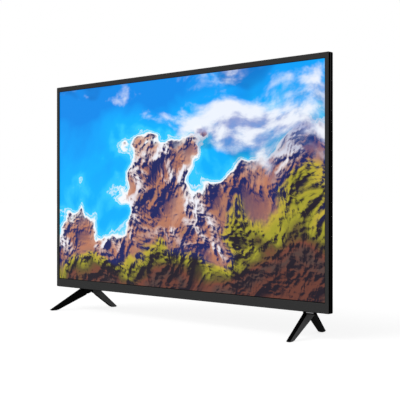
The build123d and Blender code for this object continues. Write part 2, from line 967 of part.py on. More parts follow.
def power_heatsinks():
    """Two bent plates with fins that cool the power switches."""
    sinks = []
    for shares in heatsink_plate_place_shares:
        x, z = power_place(*shares)
        low = z - power_heatsink_length / 2
        top = board_back + power_heatsink_height
        plate = block(x, x + power_heatsink_plate, board_back, top, low, low + power_heatsink_length)
        pitch = (power_heatsink_length - power_heatsink_plate) / (power_heatsink_fin_count - 1)
        fins = [
            block(
                x + power_heatsink_plate, x + power_heatsink_plate + power_heatsink_fin, board_back, top,
                low + pitch * i, low + pitch * i + power_heatsink_plate,
            )
            for i in range(power_heatsink_fin_count)
        ]
        sinks.append(plate.fuse(*fins))
    return group(sinks)


def inlet_outline(width, height, x_low, x_high):
    """A block on the mains inlet's axis."""
    y = board_back + inlet_lift + inlet_height / 2
    return block(
        x_low, x_high, y - height / 2, y + height / 2, mains_middle - width / 2, mains_middle + width / 2
    )


def mains_inlet():
    """The two-pin mains inlet's body, which stands in the bay's wall."""
    body = inlet_outline(inlet_width, inlet_height, bay_x - inlet_depth, bay_x)
    flange = inlet_outline(
        inlet_width + 2 * inlet_flange_margin, inlet_height + 2 * inlet_flange_margin,
        bay_inner - inlet_flange, bay_inner,
    )
    room = inlet_outline(
        inlet_cavity_width, inlet_cavity_height, bay_x - inlet_cavity_depth, bay_x + cut_overrun
    )
    room = fillet(room.edges().filter_by(Axis.X), inlet_cavity_round)
    step = block(
        bay_x - inlet_depth, bay_inner - inlet_flange - board_edge_gap, board_back,
        board_back + inlet_lift + inlet_height / 4,
        mains_middle - inlet_width / 2, mains_middle + inlet_width / 2,
    )
    return body + flange + step - room


def mains_pins():
    """The two contact pins inside the inlet."""
    y = board_back + inlet_lift + inlet_height / 2
    back = bay_x - inlet_cavity_depth
    return group([
        rod_x(inlet_pin_radius, back, back + inlet_pin_length, y, mains_middle + side * inlet_pin_spacing / 2)
        for side in (-1, 1)
    ])


def speaker_box():
    """The right-hand speaker's closed box, with the driver's opening underneath."""
    y, low = speaker_middle_y, speaker_low
    x_high = speaker_inner_x + speaker_length
    body = block(
        speaker_inner_x, x_high, y - speaker_depth / 2, y + speaker_depth / 2, low, low + speaker_height
    )
    body = fillet(body.edges().filter_by(Axis.Z), speaker_round)
    room = block(
        speaker_inner_x + speaker_wall, x_high - speaker_wall, y - speaker_depth / 2 + speaker_wall,
        y + speaker_depth / 2 - speaker_wall, low + speaker_wall, low + speaker_height - speaker_wall,
    )
    mouth = rod_z(
        speaker_cone_radius - speaker_rim, low - cut_overrun, low + speaker_height / 2, speaker_middle_x, y
    )
    foot = block(
        speaker_inner_x + speaker_length / 4, x_high - speaker_length / 4,
        tray_back, y - speaker_depth / 2, tray_slope_run + tray_low + speaker_wall, low + speaker_height,
    )
    return body + foot - room - mouth


def speaker_driver():
    """The right-hand driver: a cone in a basket with its magnet, facing down."""
    base = speaker_low + speaker_wall
    outline = [
        (speaker_cone_radius * across, base + speaker_driver_height * up)
        for across, up in speaker_profile_shares
    ]
    face = Plane.XZ * make_face(Polyline(*outline, close=True))
    return Pos(speaker_middle_x, speaker_middle_y, 0) * revolve(face, Axis.Z)


def speaker_cushion():
    """The right-hand speaker's foam ring, between the box and the cover's grille."""
    y = speaker_middle_y
    half_x = grille_slot_pitch * grille_slot_count / 2 + grille_slot_pitch
    half_y = speaker_depth / 2 - speaker_round / 2
    outer = block(
        speaker_middle_x - half_x, speaker_middle_x + half_x, y - half_y, y + half_y,
        cover_wall, speaker_low,
    )
    border = speaker_wall
    room = block(
        speaker_middle_x - half_x + border, speaker_middle_x + half_x - border,
        y - half_y + border, y + half_y - border, cover_wall - cut_overrun, speaker_low + cut_overrun,
    )
    return outer - room


def cover_screw_places():
    """Each cover screw's x, z and the depth of the surface its well starts from."""
    top = set_height - top_screw_drop
    first = top_screw_side_margin - half_width
    spacing = -2 * first / (top_screw_count - 1)
    places = [(first + spacing * i, top, plateau_depth) for i in range(top_screw_count)]
    side_x, side_z = half_width - side_screw_margin, bulge_base_top + side_screw_lift
    low_x, low_z = foot_x - low_screw_foot_gap, bay_low - low_screw_bay_gap
    middle_z = tray_slope_run + middle_screw_lift
    for side in (-1, 1):
        places.append((side * side_x, side_z, plateau_depth))
        places.append((side * low_x, low_z, bulge_depth))
        places.append((side * middle_screw_x, middle_z, bulge_depth))
    return places


def screw_seat():
    """The depth at which every cover screw's head rests."""
    return tray_back + well_floor


def cover_screw(x, z):
    """A pan-head screw with a cross recess."""
    seat = screw_seat()
    head_top = seat + screw_head_height
    head = rod_y(screw_head_radius, seat, head_top, x, z)
    head = fillet(head.faces().sort_by(Axis.Y)[-1].edges(), screw_head_height / 3)
    shank = rod_y(screw_shank_radius, bar_back + screw_tip_gap, seat, x, z)
    slots = [
        block(x - a / 2, x + a / 2, head_top - cross_depth, head_top + cut_overrun, z - b / 2, z + b / 2)
        for a, b in ((cross_width, cross_length), (cross_length, cross_width))
    ]
    return (head + shank).cut(*slots)


def outer_cover():
    """The cover's outer form: a thin edge, a raised plateau and a deep bulge below."""
    edge = rounded_outline(cover_front, edge_depth)
    base = (half_width - corner_radius, corner_radius, set_height - corner_radius)
    top = (base[0] - plateau_run, base[1] + plateau_run, base[2] - plateau_run)
    plateau = tapered_block(edge_depth, base, plateau_depth, top)
    bulge = tapered_block(
        edge_depth, (bulge_base_half_width, 0, bulge_base_top), bulge_depth, (bulge_half_width, 0, bulge_top)
    )
    soft = fillet(bulge.faces().sort_by(Axis.Y)[-1].edges(), bulge_round)
    return edge.fuse(plateau, soft)


def cover_room():
    """The hollow inside the cover."""
    edge = block(
        cover_wall - half_width, half_width - cover_wall, -cut_overrun, edge_depth - cover_wall,
        cover_wall, set_height - cover_wall,
    )
    base = (half_width - corner_radius, corner_radius, set_height - corner_radius)
    top = (base[0] - plateau_run, base[1] + plateau_run, base[2] - plateau_run)
    plateau = tapered_block(edge_depth - cover_wall, base, plateau_inner, top)
    inset = cover_wall / 2
    bulge = tapered_block(
        edge_depth - cover_wall, (bulge_base_half_width - inset, cover_wall, bulge_base_top - inset),
        bulge_inner, (bulge_half_width - inset, cover_wall, bulge_top - inset),
    )
    return edge.fuse(plateau, bulge)


def bay(side, low, high, grow):
    """The space of a bay in one end of the bulge, grown by a wall."""
    x_near, x_far = (bay_x - grow) * side, half_width * side
    return block(
        min(x_near, x_far), max(x_near, x_far), plateau_depth - grow, bulge_depth + cut_overrun,
        low - grow, high + grow,
    )


def vents():
    """Outlet slots along the bulge's upper slope and intake slots low on its back."""
    slots = []
    for i in range(vent_count):
        x = vent_pitch * (i - (vent_count - 1) / 2)
        slots.append(block(
            x - vent_width / 2, x + vent_width / 2, plateau_depth, bulge_depth + cut_overrun,
            bulge_top + vent_drop, bulge_top + vent_length,
        ))
        slots.append(block(
            x - vent_width / 2, x + vent_width / 2, bulge_inner - cut_overrun, bulge_depth + cut_overrun,
            intake_lift, intake_lift + intake_length,
        ))
    return slots


def grille_slots():
    """Sound slots in the cover's underside, below both speakers."""
    y = speaker_middle_y
    slots = []
    for i in range(grille_slot_count):
        x = speaker_middle_x + grille_slot_pitch * (i - (grille_slot_count - 1) / 2)
        slots += both_sides(block(
            x - grille_slot_width / 2, x + grille_slot_width / 2,
            y - grille_slot_length / 2, y + grille_slot_length / 2,
            -cut_overrun, cover_wall + cut_overrun / 10,
        ))
    return slots


def rear_cover():
    """The one-piece back of the set."""
    bays = [(-1, bay_low, bay_high), (1, mains_bay_low, mains_bay_high)]
    shell = outer_cover().cut(*[bay(side, low, high, 0) for side, low, high in bays])
    room = cover_room().cut(*[bay(side, low, high, cover_wall) for side, low, high in bays])
    shell = shell - room
    wells = []
    bores = []
    for x, z, surface in cover_screw_places():
        wells.append(rod_y(well_radius, tray_back, surface - cover_wall / 2, x, z))
        bores.append(rod_y(well_bore, tray_back - cut_overrun, surface + cut_overrun, x, z))
        bores.append(rod_y(well_counterbore, screw_seat(), surface + cut_overrun, x, z))
    shell = shell.fuse(*wells)
    nuts = [
        rod_y(mount_nut_radius + fit_gap, bulge_inner - cut_overrun, bulge_depth + cut_overrun, x, z)
        for x, z in mount_places()
    ]
    keys = [
        rod_y(key_radius + running_gap, plateau_inner - cut_overrun, plateau_depth + cut_overrun, x, key_z)
        for x in key_places()
    ]
    inlet_hole = inlet_outline(
        inlet_width + 2 * running_gap, inlet_height + 2 * running_gap,
        bay_inner - cut_overrun, bay_x + cut_overrun,
    )
    tongues = both_sides(foot_location() * foot_tongue(fit_gap, -cut_overrun))
    return shell.cut(
        *bores, *nuts, *keys, *vents(), *grille_slots(), inlet_hole, io_window(), *tongues
    )


def mount_places():
    """The four wall mount sockets."""
    half = mount_spacing / 2
    return [(x, mount_centre_z + z) for x in (-half, half) for z in (-half, half)]


def wall_mount_nuts():
    """The long steel sockets that stand on the tray and end level with the cover."""
    nuts = []
    for x, z in mount_places():
        body = rod_y(mount_nut_radius, tray_back, bulge_depth, x, z)
        thread = rod_y(mount_thread_radius, bulge_depth - mount_thread_depth, bulge_depth + cut_overrun, x, z)
        nuts.append(body - thread)
    return group(nuts)


def key_places():
    """The x of every key, from the outermost inwards."""
    outermost = half_width - key_side_margin
    return [outermost - key_pitch * i for i in range(len(key_names))]


def key(x):
    """One push key: a dished cap, a flange inside the cover and a stem into its switch."""
    flange_back = plateau_inner - running_gap / 2
    flange_front = flange_back - key_flange_thickness
    cap_back = plateau_depth + key_proud
    cap = rod_y(key_radius, flange_front, cap_back, x, key_z)
    cap = fillet(cap.faces().sort_by(Axis.Y)[-1].edges(), key_proud / 3)
    flange = rod_y(key_radius + key_flange_extra, flange_front, flange_back, x, key_z)
    stem = rod_y(key_stem_radius, switch_top - key_engage, flange_front, x, key_z)
    dish_cut = rod_y(key_radius / 2, cap_back - key_dish, cap_back + cut_overrun, x, key_z)
    return cap + flange + stem - dish_cut


def key_board():
    """The strip board behind the keys, with its spacers."""
    low, high = key_places()[-1] - key_board_margin, key_places()[0] + key_board_margin
    half = key_board_height / 2
    strip = block(low, high, key_board_front, key_board_back, key_z - half, key_z + half)
    spacers = [
        rod_y(key_board_height / 6, tray_back, key_board_front, x, key_z)
        for x in (low + key_board_height / 3, high - key_board_height / 3)
    ]
    return strip.fuse(*spacers)


def key_switches():
    """A small switch behind each key, with a round well for the key's stem."""
    half = switch_side / 2
    well_front = switch_top - key_engage - 2 * key_travel
    switches = []
    for x in key_places():
        body = block(x - half, x + half, key_board_back, switch_top, key_z - half, key_z + half)
        well = rod_y(key_stem_radius + running_gap / 2, well_front, switch_top + cut_overrun, x, key_z)
        switches.append(body - well)
    return group(switches)


def foot_location():
    """The right-hand foot's own frame: X runs back along the foot, Y up and Z outwards."""
    angle = radians(foot_angle)
    plane = Plane(
        origin=(foot_x, foot_y, 0), x_dir=(-sin(angle), cos(angle), 0), z_dir=(cos(angle), sin(angle), 0)
    )
    return plane.location


def foot_profile():
    """The foot seen from the side, as a thick slab."""
    floor = -foot_height + pad_proud
    points = [
        (-foot_root_front, 0), (-front_tip_start, floor), (-front_tip_end, floor),
        (foot_crotch_station, -foot_crotch_drop), (rear_tip_start, floor), (rear_tip_end, floor),
        (foot_root_rear, 0),
    ]
    face = make_face(Polyline(*points, close=True))
    return extrude(face, amount=front_tip_start / 2, both=True)


def leg_wire(height, start, end, shift, width):
    """A leg's level section."""
    return Wire.make_polygon([
        (start, height, shift - width / 2), (end, height, shift - width / 2),
        (end, height, shift + width / 2), (start, height, shift + width / 2),
    ])


def leg_blade(start, end, root_shift, tip_shift, tip_width):
    """The flat-sided form that bounds one leg: it leans sideways and thins towards the floor."""
    wires = [
        leg_wire(-foot_height, start, end, tip_shift, tip_width),
        leg_wire(0, start, end, root_shift, leg_root_width),
    ]
    return Solid.make_loft(wires, ruled=True)


def leg(start, end, root_shift, tip_shift, tip_width):
    """One leg with its long edges eased."""
    blade = foot_profile() & leg_blade(start, end, root_shift, tip_shift, tip_width)
    return chamfer(blade.edges().filter_by(is_long_leg_edge), foot_edge)


def foot_tongue(gap, low):
    """The tongue that enters the set's underside."""
    return block(
        -tongue_length / 2 - gap, tongue_length / 2 + gap, low, tongue_height + gap,
        -tongue_width / 2 - gap, tongue_width / 2 + gap,
    )


def pad_shape(start, end, shift, width):
    """One rubber pad, let into the end of a leg."""
    return block(
        start + pad_end_inset, end - pad_end_inset, -foot_height, -foot_height + pad_proud + pad_embed,
        shift - width / 2 + pad_inset, shift + width / 2 - pad_inset,
    )


def foot_pads():
    """The two pads of the right-hand foot."""
    return [
        pad_shape(-front_tip_start, -front_tip_end, front_tip_shift, front_tip_width),
        pad_shape(rear_tip_start, rear_tip_end, -rear_tip_shift, rear_tip_width),
    ]


def foot():
    """The right-hand foot in its own frame."""
    front = leg(-front_tip_start, foot_crotch_station, front_root_shift, front_tip_shift, front_tip_width)
    rear = leg(foot_crotch_station, rear_tip_end, -rear_root_shift, -rear_tip_shift, rear_tip_width)
    root = block(
        -foot_block_half, foot_block_half, -foot_block_drop, 0, -foot_block_width / 2, foot_block_width / 2
    )
    body = (foot_profile() & root).fuse(front, rear, foot_tongue(0, 0))
    cuts = foot_pads()
    for station in (-foot_screw_station, foot_screw_station):
        top = tongue_height + cut_overrun
        cuts.append(upright(foot_screw_bore, -foot_height, -foot_screw_seat, station))
        cuts.append(upright(foot_screw_radius + running_gap, -foot_height, top, station))
    return body.cut(*cuts)


def is_long_leg_edge(edge):
    """Picks the edges that run down the legs."""
    low, high = edge.bounding_box().min.Y, edge.bounding_box().max.Y
    return high - low > foot_height / 3


def upright(radius, low, high, station):
    """A cylinder along the foot's own upright axis."""
    return Pos(station, (low + high) / 2, 0) * Rot(90, 0, 0) * Cylinder(radius, high - low)


def foot_screws():
    """The two screws that hold the right-hand foot."""
    screws = []
    top = tongue_height + fit_gap + bracket_plate
    for station in (-foot_screw_station, foot_screw_station):
        head = upright(
            foot_screw_head_radius, -foot_screw_seat - foot_screw_head_height, -foot_screw_seat, station
        )
        shank = upright(foot_screw_radius, -foot_screw_seat, top, station)
        screws.append(head + shank)
    return screws


def foot_bracket():
    """The steel bracket that ties the right-hand foot to the tray."""
    low = tongue_height + fit_gap
    plate = block(
        foot_x - bracket_width / 2, foot_x + bracket_width / 2, tray_back, foot_y + bracket_rear_margin,
        low, low + bracket_plate,
    )
    flange = block(
        foot_x - bracket_width / 2, foot_x + bracket_width / 2, tray_back, tray_back + bracket_plate,
        low, bracket_rise,
    )
    holes = [
        foot_location() * upright(foot_screw_radius, 0, bracket_rise, station)
        for station in (-foot_screw_station, foot_screw_station)
    ]
    return (plate + flange).cut(*holes)


def round_tube(path):
    """A round bundle of wires along a path."""
    start = Plane(origin=path @ 0, z_dir=path % 0)
    return sweep(start * Circle(harness_radius), path=path)


def harness(points, bend):
    """A bundle of wires along straight runs joined by bends."""
    return round_tube(FilletPolyline(*points, radius=bend))


def plug_block(x, y, z, height):
    """A harness connector that stands on a board."""
    return block(
        x - harness_clip_width / 2, x + harness_clip_width / 2, y, y + height,
        z - harness_clip_depth / 2, z + harness_clip_depth / 2,
    )


def power_harness():
    """The wires from the power board to the main board, over the timing board."""
    start_x = board_outlines()[0][1] - harness_clip_width
    end_x = board_outlines()[1][0] + harness_clip_width
    z = timing_board_low + timing_board_height + harness_clip_width * 1.5
    top = board_back + harness_clip_height
    ends = [plug_block(x, board_back, z, harness_clip_height) for x in (start_x, end_x)]
    peak = top + harness_rise
    points = [(start_x, top, z), (start_x, peak, z), (end_x, peak, z), (end_x, top, z)]
    return harness(points, harness_bend).fuse(*ends)


def speaker_cables():
    """Each speaker's wires, up to their plugs on the main board."""
    board_left, board_right, board_low, _ = board_outlines()[0]
    plug_low = board_low + speaker_plug_inset
    y = board_back + harness_clip_height / 2
    near_x = ((board_left + board_right) / 2 - speaker_middle_x) / 2
    near = Line((near_x, y, speaker_high), (near_x, y, plug_low))
    start_x = speaker_inner_x + speaker_length / 8
    far_x = board_right - harness_clip_width * 2
    level = speaker_high + speaker_cable_rise
    far = [(start_x, y, speaker_high), (start_x, y, level), (far_x, y, level), (far_x, y, plug_low)]
    cables = []
    for tube, x in ((round_tube(near), near_x), (harness(far, speaker_cable_bend), far_x)):
        plug = plug_block(x, board_back, plug_low + harness_clip_depth / 2, harness_clip_height)
        cables.append(tube + plug)
    return group(cables)


def build():
    """Every node of the set, by name."""
    parts = {}
    parts["front_bezel"] = front_bezel()
    parts["receiver_tab"] = receiver_tab()
    parts["badge_strip"] = badge_strip()
    parts["status_light"] = status_light()
    parts["receiver_board"] = receiver_board()
    parts["lcd_panel"] = lcd_panel()
    parts["panel_cushion_tape"] = panel_cushion()
    parts["driver_boards"] = group([driver_boards(), driver_films()])
    parts["middle_frame"] = middle_frame()
    parts["prism_sheet"] = optical_sheet(ledge_back, prism_back)
    parts["diffusing_sheet"] = optical_sheet(prism_back, diffusing_sheet_back)
    parts["diffuser_plate"] = optical_sheet(diffusing_sheet_back, diffuser_back)
    parts["reflector_sheet"] = reflector_sheet()
    parts["led_bars"] = led_bars()
    parts["led_lenses"] = led_lenses()
    parts["backlight_tray"] = backlight_tray()
    main, power, timing = board_outlines()
    parts["main_board"] = board(main)
    parts["main_board_chips"] = main_board_chips()
    parts["processor_heatsink"] = processor_heatsink()
    parts["wireless_module"] = wireless_module()
    parts["hdmi_sockets"] = sockets_of("hdmi", hdmi_socket())
    parts["usb_sockets"] = sockets_of("usb", usb_socket())
    parts["lan_socket"] = sockets_of("lan", lan_socket())
    parts["optical_socket"] = sockets_of("optical", optical_socket())
    parts["sound_jacks"] = sockets_of("jack", jack_socket())
    parts["tuner_can"] = sockets_of("aerial", tuner_can())
    parts["aerial_socket"] = sockets_of("aerial", aerial_socket())
    parts["io_panel"] = io_panel()
    parts["timing_board"] = board(timing)
    parts["timing_ribbon"] = timing_ribbon()
    parts["power_board"] = board(power)
    parts["power_transformers"] = power_transformers()
    parts["power_capacitors"] = power_capacitors()
    parts["power_heatsinks"] = power_heatsinks()
    parts["power_harness"] = power_harness()
    parts["mains_inlet"] = mains_inlet()
    parts["mains_pins"] = mains_pins()
    for name, shape in (("speaker_box", speaker_box()), ("speaker_driver", speaker_driver())):
        right, left = both_sides(shape)
        parts["right_" + name] = right
        parts["left_" + name] = left
    parts["speaker_cushions"] = group(both_sides(speaker_cushion()))
    parts["speaker_cables"] = speaker_cables()
    parts["key_board"] = key_board()
    parts["key_switches"] = key_switches()
    for name, x in zip(key_names, key_places()):
        parts[name] = key(x)
    parts["rear_cover"] = rear_cover()
    parts["cover_screws"] = group([cover_screw(x, z) for x, z, _ in cover_screw_places()])
    parts["wall_mount_nuts"] = wall_mount_nuts()
    right, left = both_sides(foot_location() * foot())
    parts["right_foot"] = right
    parts["left_foot"] = left
    for name, shapes in (("foot_pads", foot_pads()), ("foot_screws", foot_screws())):
        parts[name] = group([each for shape in shapes for each in both_sides(foot_location() * shape)])
    parts["foot_brackets"] = group(both_sides(foot_bracket()))
    return parts


def main():
    """Moves the origin to the floor under the middle of the object and writes every node."""
    parts = build()
    boxes = [shape.bounding_box() for shape in parts.values()]
    y_low, y_high = min(box.min.Y for box in boxes), max(box.max.Y for box in boxes)
    shift = Pos(0, -(y_low + y_high) / 2, foot_height)
    print("front face at y", round(-(y_low + y_high) / 2, 4), "set's lower edge at z", foot_height)
    os.makedirs("parts", exist_ok=True)
    for name, shape in parts.items():
        export_step(shift * shape, f"parts/{name}.step")


main()
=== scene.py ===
import json
from math import cos, pi, radians, sin

import bmesh
import bpy
import numpy as np
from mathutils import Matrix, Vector
from mathutils.bvhtree import BVHTree


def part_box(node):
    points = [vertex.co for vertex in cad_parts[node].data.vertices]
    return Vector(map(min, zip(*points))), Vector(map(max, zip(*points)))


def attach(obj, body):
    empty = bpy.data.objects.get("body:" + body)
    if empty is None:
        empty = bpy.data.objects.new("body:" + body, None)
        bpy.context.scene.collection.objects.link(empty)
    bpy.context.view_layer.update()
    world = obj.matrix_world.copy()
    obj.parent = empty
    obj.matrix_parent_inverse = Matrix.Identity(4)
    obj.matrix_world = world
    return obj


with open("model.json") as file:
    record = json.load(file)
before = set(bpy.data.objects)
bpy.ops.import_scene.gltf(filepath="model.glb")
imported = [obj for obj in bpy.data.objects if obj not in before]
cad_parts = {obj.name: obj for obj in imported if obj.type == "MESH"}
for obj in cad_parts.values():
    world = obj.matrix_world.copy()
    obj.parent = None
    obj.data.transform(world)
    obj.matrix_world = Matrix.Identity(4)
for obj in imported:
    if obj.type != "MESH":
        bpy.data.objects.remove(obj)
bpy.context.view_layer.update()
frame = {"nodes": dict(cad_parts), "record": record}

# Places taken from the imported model, in metres
set_low, set_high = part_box("front_bezel")
glass_low, glass_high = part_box("lcd_panel")
cover_low, cover_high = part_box("rear_cover")
glass_overlap = 0.0045
window_half = glass_high.x - glass_overlap
window_low = glass_low.z + glass_overlap
window_high = glass_high.z - glass_overlap
window_height = window_high - window_low
front_face = set_low.y

# The painted highlight on the bezel's edge at the seam and the cover's strip there painted black as shade,
# in metres from the edge; the painted highlight fades out downwards
seam_highlight_start = 0.0016
seam_highlight_end = 0.0008
seam_highlight_low = set_low.z + 0.68 * (set_high.z - set_low.z)
seam_highlight_high = set_low.z + 0.88 * (set_high.z - set_low.z)
shaded_rim_start = 0.0012
shaded_rim_end = 0.0006

# Black border between the window and the picture
border_left = 0.0002
border_right = 0.0020
border_head = 0.0005
border_foot = 0.0018
border_soft = 0.0004

# Shared by finishes: colours, the tone of a pit's bottom and a relief in metres
# Painted shade: this near-black stands for shade on the bezel's outer sides and on the cover's strip at the
# seam
painted_shade_black = (0.0008, 0.0008, 0.0009, 1.0)
dust_colour = (0.32, 0.31, 0.29, 1.0)
pit_tone = 0.8
fine_relief = 0.00001

# Camera, as solved from the photograph's corners
camera_turn = radians(44.74)
camera_distance = 2.43
camera_sideways = 0.0437
camera_height = 0.3043
camera_lens = 86.93
camera_ahead = 0.0311693
camera_sensor = 36.0

# The feet
foot_middle_x = 0.392
foot_middle_y = sum(corner.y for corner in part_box("foot_screws")) / 2
foot_turn = radians(12)
crotch_station = 0.0029
crotch_level = set_low.z - 0.014
front_edge = (0.918, -0.397)
rear_edge = (0.80, 0.60)
# Where the painted sheen on the feet starts and ends above the leg's lower edge, in metres
painted_sheen_start = 0.0008
painted_sheen_end = 0.0014

# The picture, in window heights
coast_bend = 0.34
land_slope_x = 0.26
land_slope_y = -0.95
shore_level = 0.53
bay_size = 2.3
bay_depth = 1.5
inlet_size = 11.0
inlet_depth = 0.20
rock_size = 2.6
light_step = 0.008
swell_count = 170.0
swell_bend = 16.0
cloud_size = 1.9

# Details on the back, in metres
bulge_back = cover_high.y
bulge_half = 0.4065
bead_steps = 10
bead_sink = 0.0003
cap_rows = 3
corner_points = 7
ring_points = 19
level_points = 9
bay_points = 12
rib_low = 0.432
rib_pitch = 0.0135
rib_count = 7
rib_half = 0.424
rib_line = 0.0011
rib_rise = 0.0006
rim_line = 0.0009
rim_rise = 0.0005
bay_margin = 0.004
mains_bay_half = 0.0335
intake_z = 0.0783
intake_half = 0.182
intake_rise = 0.0108
label_z = 0.205
label_half_x = 0.048
label_half_z = 0.024
label_gap = 0.003
label_radius = 0.002
label_frame_radius = 0.004
label_rise = 0.00012
mark_lift = 0.0115
mark_size = 0.0031
mark_line = 0.00042
mark_rise = 0.0004

# Light
world_level = 0.55
sun_strength = 1.5
sun_spread = radians(50)
sun_tilt = radians(48)
sun_turn = radians(-25)
floor_colour = 0.30
floor_mottle = 0.004
floor_glow = 0.80


def set_input(tree, socket, value):
    """Links another node's output to an input, or writes a plain value into it."""
    if isinstance(value, bpy.types.NodeSocket):
        tree.links.new(value, socket)
    else:
        socket.default_value = value


def place(tree, kind, inputs, output=0, **settings):
    """Adds a shader node with its settings and inputs, and gives one of its outputs."""
    made = tree.nodes.new("ShaderNode" + kind)
    for name, value in settings.items():
        setattr(made, name, value)
    for name, value in inputs.items():
        set_input(tree, made.inputs[name], value)
    return made.outputs[output]


def calc(tree, operation, *values, clamp=False):
    """One step of arithmetic."""
    made = tree.nodes.new("ShaderNodeMath")
    made.operation = operation
    made.use_clamp = clamp
    for socket, value in zip(made.inputs, values):
        set_input(tree, socket, value)
    return made.outputs[0]


def move(tree, operation, *values):
    """One step of arithmetic on vectors."""
    made = tree.nodes.new("ShaderNodeVectorMath")
    made.operation = operation
    for socket, value in zip(made.inputs, values):
        set_input(tree, socket, value)
    return made.outputs["Value" if operation in ("LENGTH", "DOT_PRODUCT") else "Vector"]


def colour_mix(tree, share, first, second, way="MIX"):
    """Mixes two colours by a share."""
    made = tree.nodes.new("ShaderNodeMix")
    made.data_type = "RGBA"
    made.blend_type = way
    for index, value in ((0, share), (6, first), (7, second)):
        set_input(tree, made.inputs[index], value)
    return made.outputs[2]


def grey(level):
    """A neutral colour."""
    return level, level, level, 1.0


def facing(tree):
    """The surface's own normal, as x, y and z."""
    return parts_of(tree, place(tree, "NewGeometry", {}, output="Normal"))


def fade(tree, value, start, end, low=0.0, high=1.0):
    """A soft step: low before start, high after end."""
    return place(
        tree, "MapRange",
        {"Value": value, "From Min": start, "From Max": end, "To Min": low, "To Max": high},
        interpolation_type="SMOOTHSTEP",
    )


def cloudy(tree, place_of, size, detail=4.0, roughness=0.5, warp=0.0):
    """Noise whose lumps are about one over size across, from 0 to 1."""
    return place(
        tree, "TexNoise",
        {"Vector": place_of, "Scale": size, "Detail": detail, "Roughness": roughness, "Distortion": warp},
        noise_type="FBM", normalize=True,
    )


def steps(tree, value, stops):
    """A colour scale: each stop is a place from 0 to 1 and its colour."""
    made = tree.nodes.new("ShaderNodeValToRGB")
    scale = made.color_ramp
    while len(scale.elements) < len(stops):
        scale.elements.new(1.0)
    for element, (where, colour) in zip(scale.elements, stops):
        element.position = where
        element.color = (*colour, 1.0)
    set_input(tree, made.inputs[0], value)
    return made.outputs[0]


def spot(tree):
    """The place on the object, in metres."""
    return place(tree, "TexCoord", {}, output="Object")


def parts_of(tree, vector):
    """The x, y and z of a vector."""
    made = tree.nodes.new("ShaderNodeSeparateXYZ")
    set_input(tree, made.inputs[0], vector)
    return made.outputs[0], made.outputs[1], made.outputs[2]


def joined(tree, x, y, z):
    """A vector from its x, y and z."""
    return place(tree, "CombineXYZ", {"X": x, "Y": y, "Z": z})


def new_group(name, inputs, outputs):
    """A node group with named sockets; each input is a name, a kind and its first value."""
    tree = bpy.data.node_groups.new(name, "ShaderNodeTree")
    for title, kind, value in inputs:
        socket = tree.interface.new_socket(title, in_out="INPUT", socket_type="NodeSocket" + kind)
        if value is not None:
            socket.default_value = value
    for title, kind in outputs:
        tree.interface.new_socket(title, in_out="OUTPUT", socket_type="NodeSocket" + kind)
    return tree, tree.nodes.new("NodeGroupInput").outputs, tree.nodes.new("NodeGroupOutput").inputs


def use(tree, group, inputs, output):
    """Places a node group and gives one of its outputs."""
    made = tree.nodes.new("ShaderNodeGroup")
    made.node_tree = group
    for name, value in inputs.items():
        set_input(tree, made.inputs[name], value)
    return made.outputs[output]


def moulded_grain_group():
    """Spark-eroded grain of a mould: two sizes of rounded pits, as a mask that serves as a height too."""
    tree, given, result = new_group(
        "moulded_grain",
        [("Place", "Vector", None), ("Grains per metre", "Float", 1500.0)],
        [("Pits", "Float")],
    )
    coarse = cloudy(tree, given["Place"], given["Grains per metre"], detail=2.0)
    fine = cloudy(tree, given["Place"], calc(tree, "MULTIPLY", given["Grains per metre"], 2.7), detail=1.0)
    both = calc(tree, "ADD", calc(tree, "MULTIPLY", coarse, 0.7), calc(tree, "MULTIPLY", fine, 0.3))
    set_input(tree, result["Pits"], fade(tree, both, 0.42, 0.58))
    return tree


def handling_group():
    """Faint wiping marks and finger smears that change the gloss over a hand's breadth."""
    tree, given, result = new_group(
        "handling_marks",
        [("Place", "Vector", None), ("Roughness", "Float", 0.4), ("Amount", "Float", 0.1)],
        [("Roughness", "Float"), ("Mask", "Float")],
    )
    stretched = move(tree, "MULTIPLY", given["Place"], (1.0, 1.0, 2.4))
    wide = cloudy(tree, stretched, 9.0, detail=5.0, roughness=0.6, warp=0.8)
    mask = fade(tree, wide, 0.4, 0.7)
    change = calc(tree, "MULTIPLY", calc(tree, "SUBTRACT", mask, 0.4), given["Amount"])
    set_input(tree, result["Roughness"], calc(tree, "ADD", given["Roughness"], change, clamp=True))
    set_input(tree, result["Mask"], mask)
    return tree


def dust_group():
    """Fine dust that settles on faces that look up, thicker in soft patches."""
    tree, given, result = new_group(
        "settled_dust",
        [("Place", "Vector", None), ("Normal", "Vector", None), ("Amount", "Float", 0.3)],
        [("Mask", "Float")],
    )
    _, _, up = parts_of(tree, given["Normal"])
    level = fade(tree, up, 0.35, 0.95)
    patches = cloudy(tree, given["Place"], 22.0, detail=6.0, roughness=0.65)
    specks = cloudy(tree, given["Place"], 1400.0, detail=1.0)
    patchy = calc(tree, "ADD", fade(tree, patches, 0.3, 0.75), fade(tree, specks, 0.62, 0.7))
    mask = calc(tree, "MULTIPLY", calc(tree, "MULTIPLY", level, patchy), given["Amount"], clamp=True)
    set_input(tree, result["Mask"], mask)
    return tree


def brushed_group():
    """Long fine scratches of rolled or brushed metal along X, as a height and a tint."""
    tree, given, result = new_group(
        "brushed_lines",
        [("Place", "Vector", None), ("Lines per metre", "Float", 2500.0)],
        [("Height", "Float"), ("Tint", "Float")],
    )
    stretched = move(tree, "MULTIPLY", given["Place"], (0.02, 1.0, 1.0))
    lines = cloudy(tree, stretched, given["Lines per metre"], detail=3.0, roughness=0.7)
    set_input(tree, result["Height"], lines)
    set_input(tree, result["Tint"], fade(tree, lines, 0.2, 0.8, 0.85, 1.1))
    return tree


moulded_grain = moulded_grain_group()
handling_marks = handling_group()
settled_dust = dust_group()
brushed_lines = brushed_group()


